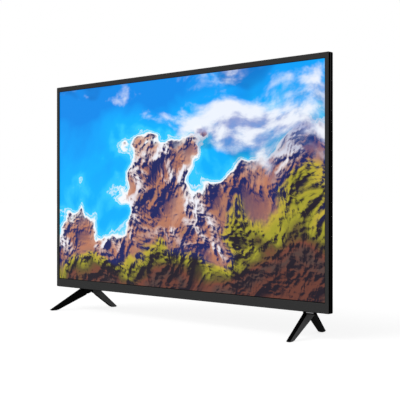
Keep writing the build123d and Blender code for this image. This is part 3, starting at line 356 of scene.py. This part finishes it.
def finish(name, specular=0.5, **constants):
    """A new material with its shader; the constants are set on the shader's own sockets."""
    material = bpy.data.materials.new(name)
    material.use_nodes = True
    tree = material.node_tree
    shader = tree.nodes["Principled BSDF"]
    shader.inputs["Specular IOR Level"].default_value = specular
    for title, value in constants.items():
        shader.inputs[title.replace("_", " ")].default_value = value
    return material, tree, shader.inputs


def bump(tree, height, distance):
    """A normal from a height."""
    return place(tree, "Bump", {"Height": height, "Distance": distance, "Strength": 1.0})


def moulded(name, colour, roughness=0.45, specular=0.3, grains=1500.0, depth=0.00004):
    """Moulded plastic: grain in relief, pits a little darker, and an uneven gloss."""
    material, tree, shader = finish(name, specular)
    here = spot(tree)
    pits = use(tree, moulded_grain, {"Place": here, "Grains per metre": grains}, "Pits")
    uneven = use(tree, handling_marks, {"Place": here, "Roughness": roughness, "Amount": 0.12}, "Roughness")
    dark = [part * pit_tone for part in colour]
    set_input(tree, shader["Base Color"], colour_mix(tree, pits, (*dark, 1.0), (*colour, 1.0)))
    set_input(tree, shader["Roughness"], uneven)
    set_input(tree, shader["Normal"], bump(tree, pits, depth))
    return material


def bezel_skin():
    """Satin dark grey on the frame's flat front and round its window; its outer sides are painted near-black
    as shade, with a painted highlight on the edge at the seam."""
    material, tree, shader = finish("bezel_satin", specular=0.0, Coat_Roughness=0.35)
    here = spot(tree)
    across, behind, up = parts_of(tree, here)
    _, back, _ = facing(tree)
    front = fade(tree, calc(tree, "MULTIPLY", back, -1.0), 0.80, 0.985)
    beside_window = calc(tree, "SUBTRACT", calc(tree, "ABSOLUTE", across), window_half)
    past_window = calc(tree, "ABSOLUTE", calc(tree, "SUBTRACT", up, (window_low + window_high) / 2))
    past_window = calc(tree, "SUBTRACT", past_window, window_height / 2)
    round_window = fade(tree, calc(tree, "MAXIMUM", beside_window, past_window), 0.0012, 0.0006)
    front = calc(tree, "MAXIMUM", front, round_window)
    grain = use(tree, moulded_grain, {"Place": here, "Grains per metre": 2600.0}, "Pits")
    wiped = use(tree, handling_marks, {"Place": here, "Roughness": 0.42, "Amount": 0.1}, "Mask")
    satin_and_painted_sheen = colour_mix(tree, grain, grey(0.036), grey(0.044))
    satin_and_painted_sheen = colour_mix(tree, calc(tree, "MULTIPLY", wiped, 0.3), satin_and_painted_sheen, grey(0.039))
    # Painted highlight: the back edge of the bezel's sides at the seam is painted lighter, fading out
    # downwards
    seam = calc(
        tree, "MULTIPLY", fade(tree, behind, set_high.y - seam_highlight_start, set_high.y - seam_highlight_end),
        fade(tree, up, seam_highlight_low, seam_highlight_high, 0.2, 1.0),
    )
    # The outer sides are painted near-black as shade; the edge at the seam is painted lighter as a highlight
    side = colour_mix(tree, seam, painted_shade_black, grey(0.11))
    set_input(tree, shader["Base Color"], colour_mix(tree, front, side, satin_and_painted_sheen))
    set_input(tree, shader["Coat Weight"], calc(tree, "MULTIPLY", front, 0.12))
    set_input(tree, shader["Roughness"], calc(tree, "ADD", calc(tree, "MULTIPLY", front, 0.3), 0.2))
    set_input(tree, shader["Normal"], bump(tree, calc(tree, "MULTIPLY", grain, front), 0.00002))
    return material


def cover_skin():
    """Rear cover: coarse grained black with a sheen, dust where it looks up, and a strip at the seam painted
    near-black as shade."""
    material, tree, shader = finish("cover_black", specular=0.0, Coat_Roughness=0.42)
    here = spot(tree)
    x, _, z = parts_of(tree, here)
    normal = place(tree, "NewGeometry", {}, output="Normal")
    _, back, _ = parts_of(tree, normal)
    half = (cover_high.z - cover_low.z) / 2
    beyond_x = calc(tree, "SUBTRACT", calc(tree, "ABSOLUTE", x), cover_high.x)
    from_middle = calc(tree, "ABSOLUTE", calc(tree, "SUBTRACT", z, cover_low.z + half))
    outermost = calc(tree, "MAXIMUM", beyond_x, calc(tree, "SUBTRACT", from_middle, half))
    # Painted shade: the cover's outermost strip, on faces that do not look back, is painted near-black
    # without coat
    shaded_rim = calc(tree, "MULTIPLY", fade(tree, outermost, -shaded_rim_start, -shaded_rim_end), fade(tree, back, 0.6, 0.2))
    grain = use(tree, moulded_grain, {"Place": here, "Grains per metre": 900.0}, "Pits")
    worn = use(tree, handling_marks, {"Place": here, "Roughness": 0.5, "Amount": 0.16}, "Mask")
    skin = colour_mix(tree, grain, (0.021, 0.021, 0.0215, 1.0), (0.034, 0.034, 0.0345, 1.0))
    skin = colour_mix(tree, calc(tree, "MULTIPLY", worn, 0.35), skin, grey(0.038))
    settled = use(tree, settled_dust, {"Place": here, "Normal": normal, "Amount": 0.07}, "Mask")
    skin = colour_mix(tree, settled, skin, dust_colour)
    set_input(tree, shader["Base Color"], colour_mix(tree, shaded_rim, skin, painted_shade_black))
    set_input(tree, shader["Coat Weight"], fade(tree, shaded_rim, 0.0, 1.0, 0.22, 0.0))
    uneven = use(tree, handling_marks, {"Place": here, "Roughness": 0.5, "Amount": 0.16}, "Roughness")
    set_input(tree, shader["Roughness"], uneven)
    height = calc(tree, "MULTIPLY", grain, fade(tree, shaded_rim, 0.0, 1.0, 1.0, 0.0))
    set_input(tree, shader["Normal"], bump(tree, height, 0.00008))
    return material


def plated(name, colour, roughness=0.3, lines=2500.0):
    """Metal with fine rolling lines, tinted along them."""
    material, tree, shader = finish(name, Metallic=1.0)
    here = spot(tree)
    tint = use(tree, brushed_lines, {"Place": here, "Lines per metre": lines}, "Tint")
    height = use(tree, brushed_lines, {"Place": here, "Lines per metre": lines}, "Height")
    uneven = use(tree, handling_marks, {"Place": here, "Roughness": roughness, "Amount": 0.15}, "Roughness")
    skin = colour_mix(tree, 1.0, (*colour, 1.0), tint, way="MULTIPLY")
    set_input(tree, shader["Base Color"], skin)
    set_input(tree, shader["Roughness"], uneven)
    set_input(tree, shader["Normal"], bump(tree, height, fine_relief))
    return material


def soldered_board():
    """Green lacquer with raised tracks and rows of bright pads."""
    material, tree, shader = finish("green_board", specular=0.5)
    here = spot(tree)
    tracks = place(
        tree, "TexBrick",
        {"Vector": move(tree, "MULTIPLY", here, (1.0, 0.0, 1.0)), "Scale": 60.0, "Mortar Size": 0.012,
         "Color1": (1, 1, 1, 1), "Color2": (1, 1, 1, 1), "Mortar": (0, 0, 0, 1)},
    )
    pads = place(tree, "TexVoronoi", {"Vector": here, "Scale": 400.0}, output="Distance")
    lacquer = colour_mix(tree, tracks, (0.03, 0.16, 0.06, 1.0), (0.015, 0.09, 0.035, 1.0))
    bright = fade(tree, pads, 0.16, 0.12)
    set_input(tree, shader["Base Color"], colour_mix(tree, bright, lacquer, (0.55, 0.5, 0.35, 1.0)))
    set_input(tree, shader["Roughness"], fade(tree, pads, 0.1, 0.4, 0.25, 0.45))
    set_input(tree, shader["Normal"], bump(tree, tracks, 0.00003))
    return material


def milky(name, colour, transmission=0.0, roughness=0.25):
    """Clear or milky sheet with a faint ribbing."""
    material, tree, shader = finish(name, Transmission_Weight=transmission)
    here = spot(tree)
    ribs = place(tree, "TexWave", {"Vector": here, "Scale": 900.0}, output="Fac", bands_direction="Z")
    uneven = use(tree, handling_marks, {"Place": here, "Roughness": roughness, "Amount": 0.1}, "Roughness")
    dark = [part * 0.94 for part in colour]
    set_input(tree, shader["Base Color"], colour_mix(tree, ribs, (*dark, 1.0), (*colour, 1.0)))
    set_input(tree, shader["Roughness"], uneven)
    set_input(tree, shader["Normal"], bump(tree, ribs, fine_relief))
    return material


def over_edge(tree, lift, along, edge):
    """How far a point lies inside a leg's lower edge: lift times run plus along times rise, where run and
    rise are the edge's direction."""
    run, rise = edge
    return calc(tree, "ADD", calc(tree, "MULTIPLY", lift, run), calc(tree, "MULTIPLY", along, rise))


def foot_skin():
    """Gloss black feet with painted light: the front leg's outer flank and the rear leg's inner flank are
    painted a grey sheen where they catch the light, with a black border along the leg's lower edge. A
    station is measured back along the foot from its crotch."""
    material, tree, shader = finish("foot_gloss", specular=0.0, Coat_Weight=0.05, Coat_Roughness=0.2)
    here = spot(tree)
    x, y, z = parts_of(tree, here)
    across, _, _ = facing(tree)
    outward = calc(tree, "MULTIPLY", across, calc(tree, "SIGN", x))
    beside = calc(tree, "SUBTRACT", calc(tree, "ABSOLUTE", x), foot_middle_x)
    behind = calc(tree, "SUBTRACT", y, foot_middle_y)
    station = calc(
        tree, "SUBTRACT", calc(tree, "MULTIPLY", behind, cos(foot_turn)),
        calc(tree, "ADD", calc(tree, "MULTIPLY", beside, sin(foot_turn)), crotch_station),
    )
    in_front = fade(tree, station, 0.0003, -0.0003)
    in_rear = fade(tree, in_front, 0.0, 1.0, 1.0, 0.0)
    painted_sheen_side = calc(tree, "MULTIPLY", outward, fade(tree, in_front, 0.0, 1.0, -1.0, 1.0))
    lift = calc(tree, "SUBTRACT", z, crotch_level)
    front_painted_sheen = fade(tree, over_edge(tree, lift, station, front_edge), painted_sheen_start, painted_sheen_end)
    front_painted_sheen = calc(tree, "MULTIPLY", front_painted_sheen, in_front)
    rear_painted_sheen = fade(tree, over_edge(tree, lift, station, rear_edge), painted_sheen_start, painted_sheen_end)
    rear_painted_sheen = calc(tree, "MULTIPLY", rear_painted_sheen, in_rear)
    inside = calc(tree, "ADD", front_painted_sheen, rear_painted_sheen)
    # Painted light: the flanks that catch the light are painted grey, above a black border along the lower
    # edge
    satin_and_painted_sheen = calc(tree, "MULTIPLY", fade(tree, painted_sheen_side, 0.80, 0.93), inside)
    grain = use(tree, moulded_grain, {"Place": here, "Grains per metre": 2200.0}, "Pits")
    painted_sheen_grey = colour_mix(tree, grain, (0.118, 0.118, 0.119, 1.0), (0.136, 0.136, 0.137, 1.0))
    set_input(tree, shader["Base Color"], colour_mix(tree, satin_and_painted_sheen, (0.0012, 0.0012, 0.0013, 1.0), painted_sheen_grey))
    uneven = use(tree, handling_marks, {"Place": here, "Roughness": 0.3, "Amount": 0.12}, "Roughness")
    set_input(tree, shader["Roughness"], uneven)
    set_input(tree, shader["Normal"], bump(tree, grain, fine_relief))
    return material


def ridges(tree, place_of, size):
    """Sharp branching ridges, as worn rock has."""
    return place(
        tree, "TexNoise",
        {"Vector": place_of, "Scale": size, "Detail": 9.0, "Roughness": 0.56, "Lacunarity": 2.1,
         "Offset": 0.9, "Gain": 2.2, "Distortion": 0.0},
        noise_type="RIDGED_MULTIFRACTAL",
    )


def away_from(tree, value, middle, amount):
    """A value's distance from its middle, times an amount."""
    return calc(tree, "MULTIPLY", calc(tree, "SUBTRACT", value, middle), amount)


def shifted(tree, vector, *offset):
    """A place moved by an offset in the picture's plane."""
    return move(tree, "ADD", vector, (*offset, 0.0))


def land_height(tree, place_of, bent):
    """Height of the land over the sea: higher towards the lower right, with bays and inlets cut in, and sea
    all along the upper edge."""
    across, up, _ = parts_of(tree, place_of)
    slope = calc(
        tree, "ADD", calc(tree, "MULTIPLY", across, land_slope_x), calc(tree, "MULTIPLY", up, land_slope_y)
    )
    bays = away_from(tree, cloudy(tree, bent, bay_size, detail=3.0), 0.5, bay_depth)
    inlets = away_from(tree, cloudy(tree, bent, inlet_size, detail=8.0, roughness=0.6), 0.5, inlet_depth)
    height = calc(tree, "ADD", calc(tree, "ADD", slope, shore_level), calc(tree, "ADD", bays, inlets))
    return calc(tree, "ADD", height, fade(tree, up, 0.80, 1.0, 0.0, -0.30))


def land_colour(tree, place_of, bent, height, patches):
    """Rock, grass and heath by height, with relief lit from the upper left and chalk on the crests."""
    rock = ridges(tree, bent, rock_size)
    rock_towards_light = ridges(tree, shifted(tree, bent, -light_step, light_step), rock_size)
    lit = fade(tree, calc(tree, "SUBTRACT", rock, rock_towards_light), -0.10, 0.10)
    _, up, _ = parts_of(tree, place_of)
    layer = calc(tree, "ADD", height, away_from(tree, patches, 0.5, 0.45))
    layer = calc(tree, "ADD", layer, fade(tree, up, 0.24, 0.0, 0.0, 0.3))
    land = steps(tree, layer, [
        (0.00, (0.80, 0.72, 0.68)), (0.05, (0.62, 0.33, 0.24)), (0.16, (0.50, 0.20, 0.12)),
        (0.30, (0.42, 0.19, 0.13)), (0.38, (0.55, 0.42, 0.05)), (0.50, (0.36, 0.34, 0.03)),
        (0.60, (0.13, 0.10, 0.03)), (0.72, (0.19, 0.06, 0.04)), (0.84, (0.09, 0.055, 0.05)),
        (0.96, (0.15, 0.05, 0.035)),
    ])
    upper_half = fade(tree, layer, 0.3, 0.5)
    shadow = colour_mix(tree, upper_half, (0.012, 0.018, 0.12, 1.0), (0.016, 0.011, 0.020, 1.0))
    land = colour_mix(tree, lit, shadow, land)
    chalk = calc(tree, "MULTIPLY", fade(tree, rock, 1.05, 1.45), fade(tree, layer, 0.30, 0.12))
    return colour_mix(tree, calc(tree, "MULTIPLY", chalk, lit), land, (0.88, 0.89, 0.96, 1.0))


def sea_colour(tree, height, patches):
    """Blue by depth, with rows of swell that rise near the shore: the sine of the depth times a count."""
    depth = calc(tree, "MULTIPLY", height, -1.0)
    sea = steps(tree, calc(tree, "MULTIPLY", depth, 1.6), [
        (0.00, (0.30, 0.80, 0.95)), (0.07, (0.03, 0.60, 0.98)), (0.20, (0.0, 0.45, 1.0)),
        (0.50, (0.0, 0.37, 0.98)), (0.90, (0.0, 0.26, 0.85)),
    ])
    rows = calc(tree, "MULTIPLY", depth, swell_count)
    rows = calc(tree, "ADD", rows, calc(tree, "MULTIPLY", patches, swell_bend))
    swell = calc(tree, "SINE", rows)
    crest = calc(tree, "MULTIPLY", fade(tree, swell, 0.2, 1.0), fade(tree, depth, 0.075, 0.01))
    return colour_mix(tree, calc(tree, "MULTIPLY", crest, 0.85), sea, (0.92, 0.95, 1.0, 1.0))


def with_clouds(tree, place_of, bent, ground):
    """The ground under low cloud, which casts a shadow to the lower right and thickens to the upper
    right."""
    across, up, _ = parts_of(tree, place_of)
    drift = move(tree, "ADD", move(tree, "MULTIPLY", bent, (1.0, 1.5, 1.0)), (7.7, 0.9, 0.0))
    cloud = cloudy(tree, drift, cloud_size, detail=9.0, roughness=0.55)
    cloud_lit = cloudy(tree, shifted(tree, drift, -0.05, 0.06), cloud_size, detail=9.0, roughness=0.55)
    cast = cloudy(tree, shifted(tree, drift, -0.09, 0.13), cloud_size, detail=3.0, roughness=0.5)
    reach = calc(tree, "ADD", calc(tree, "MULTIPLY", across, 0.30), calc(tree, "MULTIPLY", up, 0.80))
    reach = fade(tree, reach, 0.30, 0.80, -0.10, 0.10)
    shade = calc(tree, "MULTIPLY", fade(tree, calc(tree, "ADD", cast, reach), 0.58, 0.66), 0.4)
    ground = colour_mix(tree, shade, ground, (0.0, 0.06, 0.30, 1.0))
    cover = fade(tree, calc(tree, "ADD", cloud, reach), 0.56, 0.68)
    cloud_shade = fade(tree, calc(tree, "SUBTRACT", cloud, cloud_lit), -0.07, 0.04)
    cloud_colour = colour_mix(tree, cloud_shade, (0.30, 0.36, 0.66, 1.0), (0.90, 0.93, 1.0, 1.0))
    return colour_mix(tree, calc(tree, "MULTIPLY", cover, 0.95), ground, cloud_colour)


def coast_picture_group():
    """The picture on the screen: a made-up coast seen from the air. Its place is in window heights, x from
    the middle and y from the lower edge."""
    tree, given, result = new_group("coast_picture", [("Place", "Vector", None)], [("Color", "Color")])
    here = given["Place"]
    lumps = {"Vector": here, "Scale": 1.6, "Detail": 2.0}
    bend = place(tree, "TexNoise", lumps, output="Color", normalize=True)
    bend = move(tree, "SUBTRACT", bend, (0.5, 0.5, 0.5))
    bend = move(tree, "MULTIPLY", bend, (coast_bend, coast_bend, 0.0))
    bent = shifted(tree, move(tree, "ADD", here, bend), 4.3, 1.7)
    height = land_height(tree, here, bent)
    patches = cloudy(tree, bent, 5.0, detail=7.0, roughness=0.6)
    land = land_colour(tree, here, bent, height, patches)
    sea = sea_colour(tree, height, patches)
    ground = colour_mix(tree, fade(tree, height, -0.004, 0.004), sea, land)
    surf = calc(tree, "MULTIPLY", fade(tree, height, -0.025, -0.003), fade(tree, height, 0.02, 0.004))
    ground = colour_mix(tree, surf, ground, (0.93, 0.95, 0.99, 1.0))
    set_input(tree, result["Color"], with_clouds(tree, here, bent, ground))
    return tree


def screen_face():
    """The glass face: a lit picture inside a black border, under a finely etched surface."""
    material, tree, shader = finish("screen_face", specular=0.06)
    here = spot(tree)
    x, _, z = parts_of(tree, here)
    picture_spot = joined(
        tree, calc(tree, "DIVIDE", x, window_height),
        calc(tree, "DIVIDE", calc(tree, "SUBTRACT", z, window_low), window_height), 0.0,
    )
    picture = use(tree, coast_picture_group(), {"Place": picture_spot}, "Color")
    _, back, _ = facing(tree)
    shown = fade(tree, back, -0.5, -0.9)
    for level, edge, soft in (
        (x, border_left - window_half, border_soft), (x, window_half - border_right, -border_soft),
        (z, window_low + border_foot, border_soft), (z, window_high - border_head, -border_soft),
    ):
        shown = calc(tree, "MULTIPLY", shown, fade(tree, level, edge, edge + soft))
    set_input(tree, shader["Emission Color"], colour_mix(tree, shown, (0.0, 0.0, 0.0, 1.0), picture))
    shader["Emission Strength"].default_value = 1.0
    grain = cloudy(tree, here, 9000.0, detail=1.0)
    glass = colour_mix(tree, grain, (0.001, 0.001, 0.0012, 1.0), (0.002, 0.002, 0.0022, 1.0))
    set_input(tree, shader["Base Color"], glass)
    uneven = use(tree, handling_marks, {"Place": here, "Roughness": 0.3, "Amount": 0.06}, "Roughness")
    set_input(tree, shader["Roughness"], uneven)
    set_input(tree, shader["Normal"], bump(tree, grain, 0.000004))
    return material


finishes = {
    "bezel_plastic": bezel_skin(),
    "panel_glass": screen_face(),
    "foam": moulded("black_foam", (0.02, 0.02, 0.02), roughness=0.9, grains=900.0, depth=0.0002),
    "circuit_board": soldered_board(),
    "frame_plastic": moulded("frame_black", (0.012, 0.012, 0.012), roughness=0.55),
    "optical_film": milky("milky_film", (0.80, 0.82, 0.84)),
    "white_reflector": milky("white_film", (0.86, 0.86, 0.86), roughness=0.5),
    "lens_plastic": milky("lens_clear", (0.93, 0.94, 0.95), transmission=1.0, roughness=0.05),
    "tray_steel": plated("tray_zinc", (0.55, 0.56, 0.57), roughness=0.38, lines=1200.0),
    "chip_plastic": moulded("chip_epoxy", (0.012, 0.012, 0.013), roughness=0.5, grains=4000.0),
    "heatsink_aluminium": plated("heatsink_bare", (0.62, 0.63, 0.64), roughness=0.32),
    "socket_metal": plated("socket_nickel", (0.66, 0.65, 0.62), roughness=0.22, lines=4000.0),
    "socket_plastic": moulded("socket_black", (0.014, 0.014, 0.014), roughness=0.4, grains=3000.0),
    "panel_plate": moulded("plate_black", (0.010, 0.010, 0.011), roughness=0.5, grains=2400.0),
    "wire": moulded("wire_black", (0.016, 0.016, 0.016), roughness=0.35, grains=700.0),
    "transformer": moulded("coil_tape", (0.36, 0.26, 0.03), roughness=0.35, grains=500.0),
    "capacitor": moulded("can_sleeve", (0.014, 0.014, 0.03), roughness=0.25, grains=300.0),
    "speaker_plastic": moulded("speaker_black", (0.012, 0.012, 0.012), roughness=0.5),
    "cover_plastic": cover_skin(),
    "key_plastic": moulded("key_black", (0.016, 0.016, 0.0165), roughness=0.38, grains=2600.0),
    "screw_steel": plated("screw_black", (0.06, 0.06, 0.062), roughness=0.35),
    "mount_steel": plated("mount_zinc", (0.68, 0.67, 0.62), roughness=0.28),
    "foot_plastic": foot_skin(),
    "pad_rubber": moulded("pad_black", (0.012, 0.012, 0.012), roughness=0.8, specular=0.1, grains=1800.0),
    "receiver_window": moulded(
        "receiver_smoke", (0.003, 0.002, 0.002), roughness=0.3, specular=0.0, grains=300.0, depth=0.0
    ),
    "badge": plated("badge_satin", (0.24, 0.24, 0.245), roughness=0.35, lines=6000.0),
    "light_lens": moulded("light_smoke", (0.006, 0.003, 0.003), roughness=0.15, grains=300.0, depth=0.0),
}
label_silver = plated("label_silver", (0.30, 0.30, 0.31), roughness=0.45, lines=3000.0)
mark_grey = moulded("mark_grey", (0.28, 0.28, 0.28), roughness=0.5, grains=3000.0)


def dress_nodes():
    """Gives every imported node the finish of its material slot."""
    for row in frame["record"]["subparts"]:
        mesh = frame["nodes"][row["node"]].data
        mesh.materials.clear()
        mesh.materials.append(finishes[row["material_slot"]])


def surface(name, corners, faces):
    """A mesh object from its points and faces."""
    mesh = bpy.data.meshes.new(name)
    mesh.from_pydata(corners, [], faces)
    made = bpy.data.objects.new(name, mesh)
    bpy.context.scene.collection.objects.link(made)
    return made


def cover_back(x, z):
    """How far back the rear cover reaches behind a point of its back."""
    return cover_skin_tree.ray_cast(Vector((x, 1.0, z)), Vector((0.0, -1.0, 0.0)))[0].y


def solid(name, grids, material, body="set"):
    """One object from closed grids. A grid is rows of points, joined round each row and from row to row; its
    ends are single points, or it is marked as joined from its last row to its first."""
    corners = []
    faces = []
    count = 0
    for points, joined_ends in grids:
        order = np.arange(points.shape[0] * points.shape[1]).reshape(points.shape[:2]) + count
        following = np.roll(order, -1, axis=0)
        rows = slice(None) if joined_ends else slice(0, -1)
        quads = (order, np.roll(order, -1, axis=1), np.roll(following, -1, axis=1), following)
        faces.append(np.stack([each[rows] for each in quads], axis=-1).reshape(-1, 4))
        corners.append(points.reshape(-1, 3))
        count += order.size
    made = surface(name, np.concatenate(corners).tolist(), np.concatenate(faces).tolist())
    work = bmesh.new()
    work.from_mesh(made.data)
    bmesh.ops.remove_doubles(work, verts=work.verts, dist=1e-7)
    bmesh.ops.recalc_face_normals(work, faces=work.faces)
    work.to_mesh(made.data)
    work.free()
    made.data.shade_smooth()
    made.data.materials.append(material)
    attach(made, body)
    return made


def bead(path, half_width, rise, closed=False):
    """A raised bead along a path on the back: its section is an ellipse, half_width to each side and rise
    high, sunk a little below; an open bead ends in half an ellipsoid."""
    path = np.array(path, float)
    if closed:
        along = np.roll(path, -1, axis=0) - np.roll(path, 1, axis=0)
    else:
        along = np.gradient(path, axis=0)
    along /= np.linalg.norm(along, axis=1)[:, None]
    size = np.ones(len(path))
    if not closed:
        bend = np.linspace(0, pi / 2, cap_rows + 1)[1:]
        reach = half_width * np.sin(bend)[:, None]
        path = np.concatenate((path[0] - reach[::-1] * along[0], path, path[-1] + reach * along[-1]))
        ends = np.repeat(along[:1], cap_rows, 0), np.repeat(along[-1:], cap_rows, 0)
        along = np.concatenate((ends[0], along, ends[1]))
        size = np.concatenate((np.cos(bend)[::-1], size, np.cos(bend)))
    across = np.stack((along[:, 2], 0 * along[:, 0], -along[:, 0]), axis=1)
    angle = np.arange(bead_steps) * 2 * pi / bead_steps
    lift = np.sin(angle) * np.where(np.sin(angle) > 0, rise, bead_sink)
    section = np.cos(angle)[None, :, None] * half_width * across[:, None, :]
    section = section + lift[None, :, None] * np.array((0.0, 1.0, 0.0))
    return path[:, None, :] + size[:, None, None] * section, closed


def rounded_path(x, z, half_x, half_z, radius, y):
    """A rectangle with quarter-circle corners, as a closed path."""
    turn = np.linspace(0, pi / 2, corner_points)[None, :] + np.arange(4)[:, None] * pi / 2
    side_x = np.array((1, -1, -1, 1))[:, None] * (half_x - radius)
    side_z = np.array((1, 1, -1, -1))[:, None] * (half_z - radius)
    points = (x + side_x + radius * np.cos(turn), np.full(turn.shape, y), z + side_z + radius * np.sin(turn))
    return np.stack(points, axis=-1).reshape(-1, 3)


def plate(path, rise):
    """A thin flat plate: its outline shrunk towards the middle row by row, with a rolled edge, flat
    beneath."""
    middle = path.mean(axis=0)
    share = np.array((0.0, 0.6, 0.985, 0.996, 1.0, 1.0, 0.6, 0.0))[:, None, None]
    lift = np.array((1.0, 1.0, 1.0, 0.8, 0.4, -1.0, -1.0, -1.0))[:, None, None] * rise
    return middle + share * (path - middle) + lift * np.array((0.0, 1.0, 0.0)), False


def line(*points):
    """An open path through a few points of a mark, given to the viewer's right and up, in mark sizes."""
    return np.array(points, float)


def ring_line(start, end):
    """Part of a circle of radius one, between two angles in degrees."""
    angle = np.radians(np.linspace(start, end, ring_points))
    return np.stack((np.cos(angle), np.sin(angle)), axis=1)


key_marks = {
    "power_key": [ring_line(120, 420), line((0, 0.15), (0, 0.6), (0, 1.1))],
    "source_key": [
        line((-0.2, 0.8), (0.4, 0.8), (1, 0.8), (1, 0), (1, -0.8), (0.4, -0.8), (-0.2, -0.8)),
        line((-1.2, 0), (-0.4, 0), (0.3, 0)), line((-0.1, 0.4), (0.3, 0), (-0.1, -0.4)),
    ],
    "menu_key": [line((-0.9, level), (0, level), (0.9, level)) for level in (-0.7, 0.0, 0.7)],
    "channel_down_key": [line((-0.9, 0.45), (0, -0.45), (0.9, 0.45))],
    "channel_up_key": [line((-0.9, -0.45), (0, 0.45), (0.9, -0.45))],
    "volume_down_key": [line((-0.9, 0), (0, 0), (0.9, 0))],
    "volume_up_key": [line((-0.9, 0), (0, 0), (0.9, 0)), line((0, -0.9), (0, 0), (0, 0.9))],
}


def key_mark(key):
    """The raised mark over a key."""
    low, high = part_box(key)
    x, z = (low.x + high.x) / 2, (low.z + high.z) / 2 + mark_lift
    y = cover_back(x, z)
    paths = [
        np.stack((x - mark_size * each[:, 0], np.full(len(each), y), z + mark_size * each[:, 1]), axis=1)
        for each in key_marks[key]
    ]
    return solid(key + "_mark", [bead(each, mark_line, mark_rise) for each in paths], mark_grey)


def level_path(x_low, x_high, z, y):
    """A straight path across the back."""
    x = np.linspace(x_low, x_high, level_points)
    return np.stack((x, np.full(level_points, y), np.full(level_points, z)), axis=1)


def bay_rim(x_open, x_inner, z_low, z_high):
    """Three sides of a rectangle round a bay, open at the cover's side."""
    corners = np.array(((x_open, z_high), (x_inner, z_high), (x_inner, z_low), (x_open, z_low)))
    share = np.linspace(0, 1, bay_points, endpoint=False)[:, None]
    runs = [corners[i] + share * (corners[i + 1] - corners[i]) for i in range(3)]
    points = np.concatenate(runs + [corners[3:]])
    return np.stack((points[:, 0], np.full(len(points), bulge_back), points[:, 1]), axis=1)


def back_details():
    """Ribs, rims, the bare label and the key marks on the rear cover."""
    skin = finishes["cover_plastic"]
    plateau_back = cover_back(0.0, rib_low)
    ribs = [
        bead(level_path(-rib_half, rib_half, rib_low + rib_pitch * row, plateau_back), rib_line, rib_rise)
        for row in range(rib_count)
    ]
    solid("upper_ribs", ribs, skin)
    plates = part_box("io_panel")
    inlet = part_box("mains_inlet")
    inlet_z = (inlet[0].z + inlet[1].z) / 2
    socket_low, socket_high = plates[0].z - bay_margin, plates[1].z + bay_margin
    socket_bay = bay_rim(-bulge_half, plates[1].x - bay_margin, socket_low, socket_high)
    mains_low, mains_high = inlet_z - mains_bay_half, inlet_z + mains_bay_half
    mains_bay = bay_rim(bulge_half, inlet[0].x + bay_margin, mains_low, mains_high)
    intake = rounded_path(0.0, intake_z, intake_half, intake_rise, intake_rise, bulge_back)
    frame_half_x, frame_half_z = label_half_x + label_gap, label_half_z + label_gap
    label_frame = rounded_path(0.0, label_z, frame_half_x, frame_half_z, label_frame_radius, bulge_back)
    rims = [
        bead(socket_bay, rim_line, rim_rise),
        bead(mains_bay, rim_line, rim_rise),
        bead(intake, rim_line, rim_rise, closed=True),
        bead(label_frame, rim_line, rim_rise, closed=True),
    ]
    solid("cover_rims", rims, skin)
    label = rounded_path(0.0, label_z, label_half_x, label_half_z, label_radius, bulge_back)
    solid("bare_label", [plate(label, label_rise)], label_silver)
    for key in key_marks:
        key_mark(key)


def white_for_eyes(tree, level):
    """One where a camera, glossy or see-through ray looks, times a level."""
    path = tree.nodes.new("ShaderNodeLightPath").outputs
    seen = calc(tree, "MAXIMUM", path["Is Camera Ray"], path["Is Glossy Ray"])
    seen = calc(tree, "MAXIMUM", seen, path["Is Transmission Ray"])
    return calc(tree, "MULTIPLY", seen, level)


def floor():
    """A wide white floor that keeps the object's soft shadow."""
    reach = 60.0
    corners = [(-reach, -reach, 0), (reach, -reach, 0), (reach, reach, 0), (-reach, reach, 0)]
    made = surface("floor", corners, [(0, 1, 2, 3)])
    material, tree, shader = finish("floor_white", specular=0.0, Roughness=1.0)
    speckle = cloudy(tree, spot(tree), 40.0)
    mottled = colour_mix(tree, speckle, grey(floor_colour), grey(floor_colour + floor_mottle))
    set_input(tree, shader["Base Color"], mottled)
    shader["Emission Color"].default_value = (1.0, 1.0, 1.0, 1.0)
    set_input(tree, shader["Emission Strength"], white_for_eyes(tree, floor_glow))
    made.data.materials.append(material)


def studio():
    """A plain even world that looks white, one wide soft sun, and the camera."""
    world = bpy.data.worlds.new("studio")
    bpy.context.scene.world = world
    world.use_nodes = True
    tree = world.node_tree
    glow = white_for_eyes(tree, 1.0 - world_level)
    background = tree.nodes["Background"].inputs
    background["Color"].default_value = (1.0, 1.0, 1.0, 1.0)
    set_input(tree, background["Strength"], calc(tree, "ADD", glow, world_level))

    lamp = bpy.data.lights.new("key", "SUN")
    lamp.energy = sun_strength
    lamp.angle = sun_spread
    key = bpy.data.objects.new("key", lamp)
    key.rotation_euler = (sun_tilt, 0, sun_turn)
    bpy.context.scene.collection.objects.link(key)

    camera = bpy.data.cameras.new("camera")
    camera.lens = camera_lens
    camera.sensor_width = camera_sensor
    camera.dof.use_dof = False
    eye = bpy.data.objects.new("camera", camera)
    forward = np.array((-np.sin(camera_turn), np.cos(camera_turn)))
    right = np.array((np.cos(camera_turn), np.sin(camera_turn)))
    place_of = camera_sideways * right - camera_distance * forward
    eye.location = (place_of[0], place_of[1] + front_face + camera_ahead, camera_height)
    eye.rotation_euler = (pi / 2, 0, camera_turn)
    bpy.context.scene.collection.objects.link(eye)
    bpy.context.scene.camera = eye
    bpy.context.scene.view_settings.view_transform = "Standard"


dress_nodes()
cover_mesh = frame["nodes"]["rear_cover"].data
cover_skin_tree = BVHTree.FromPolygons(
    [corner.co for corner in cover_mesh.vertices], [face.vertices for face in cover_mesh.polygons]
)
back_details()
floor()
studio()
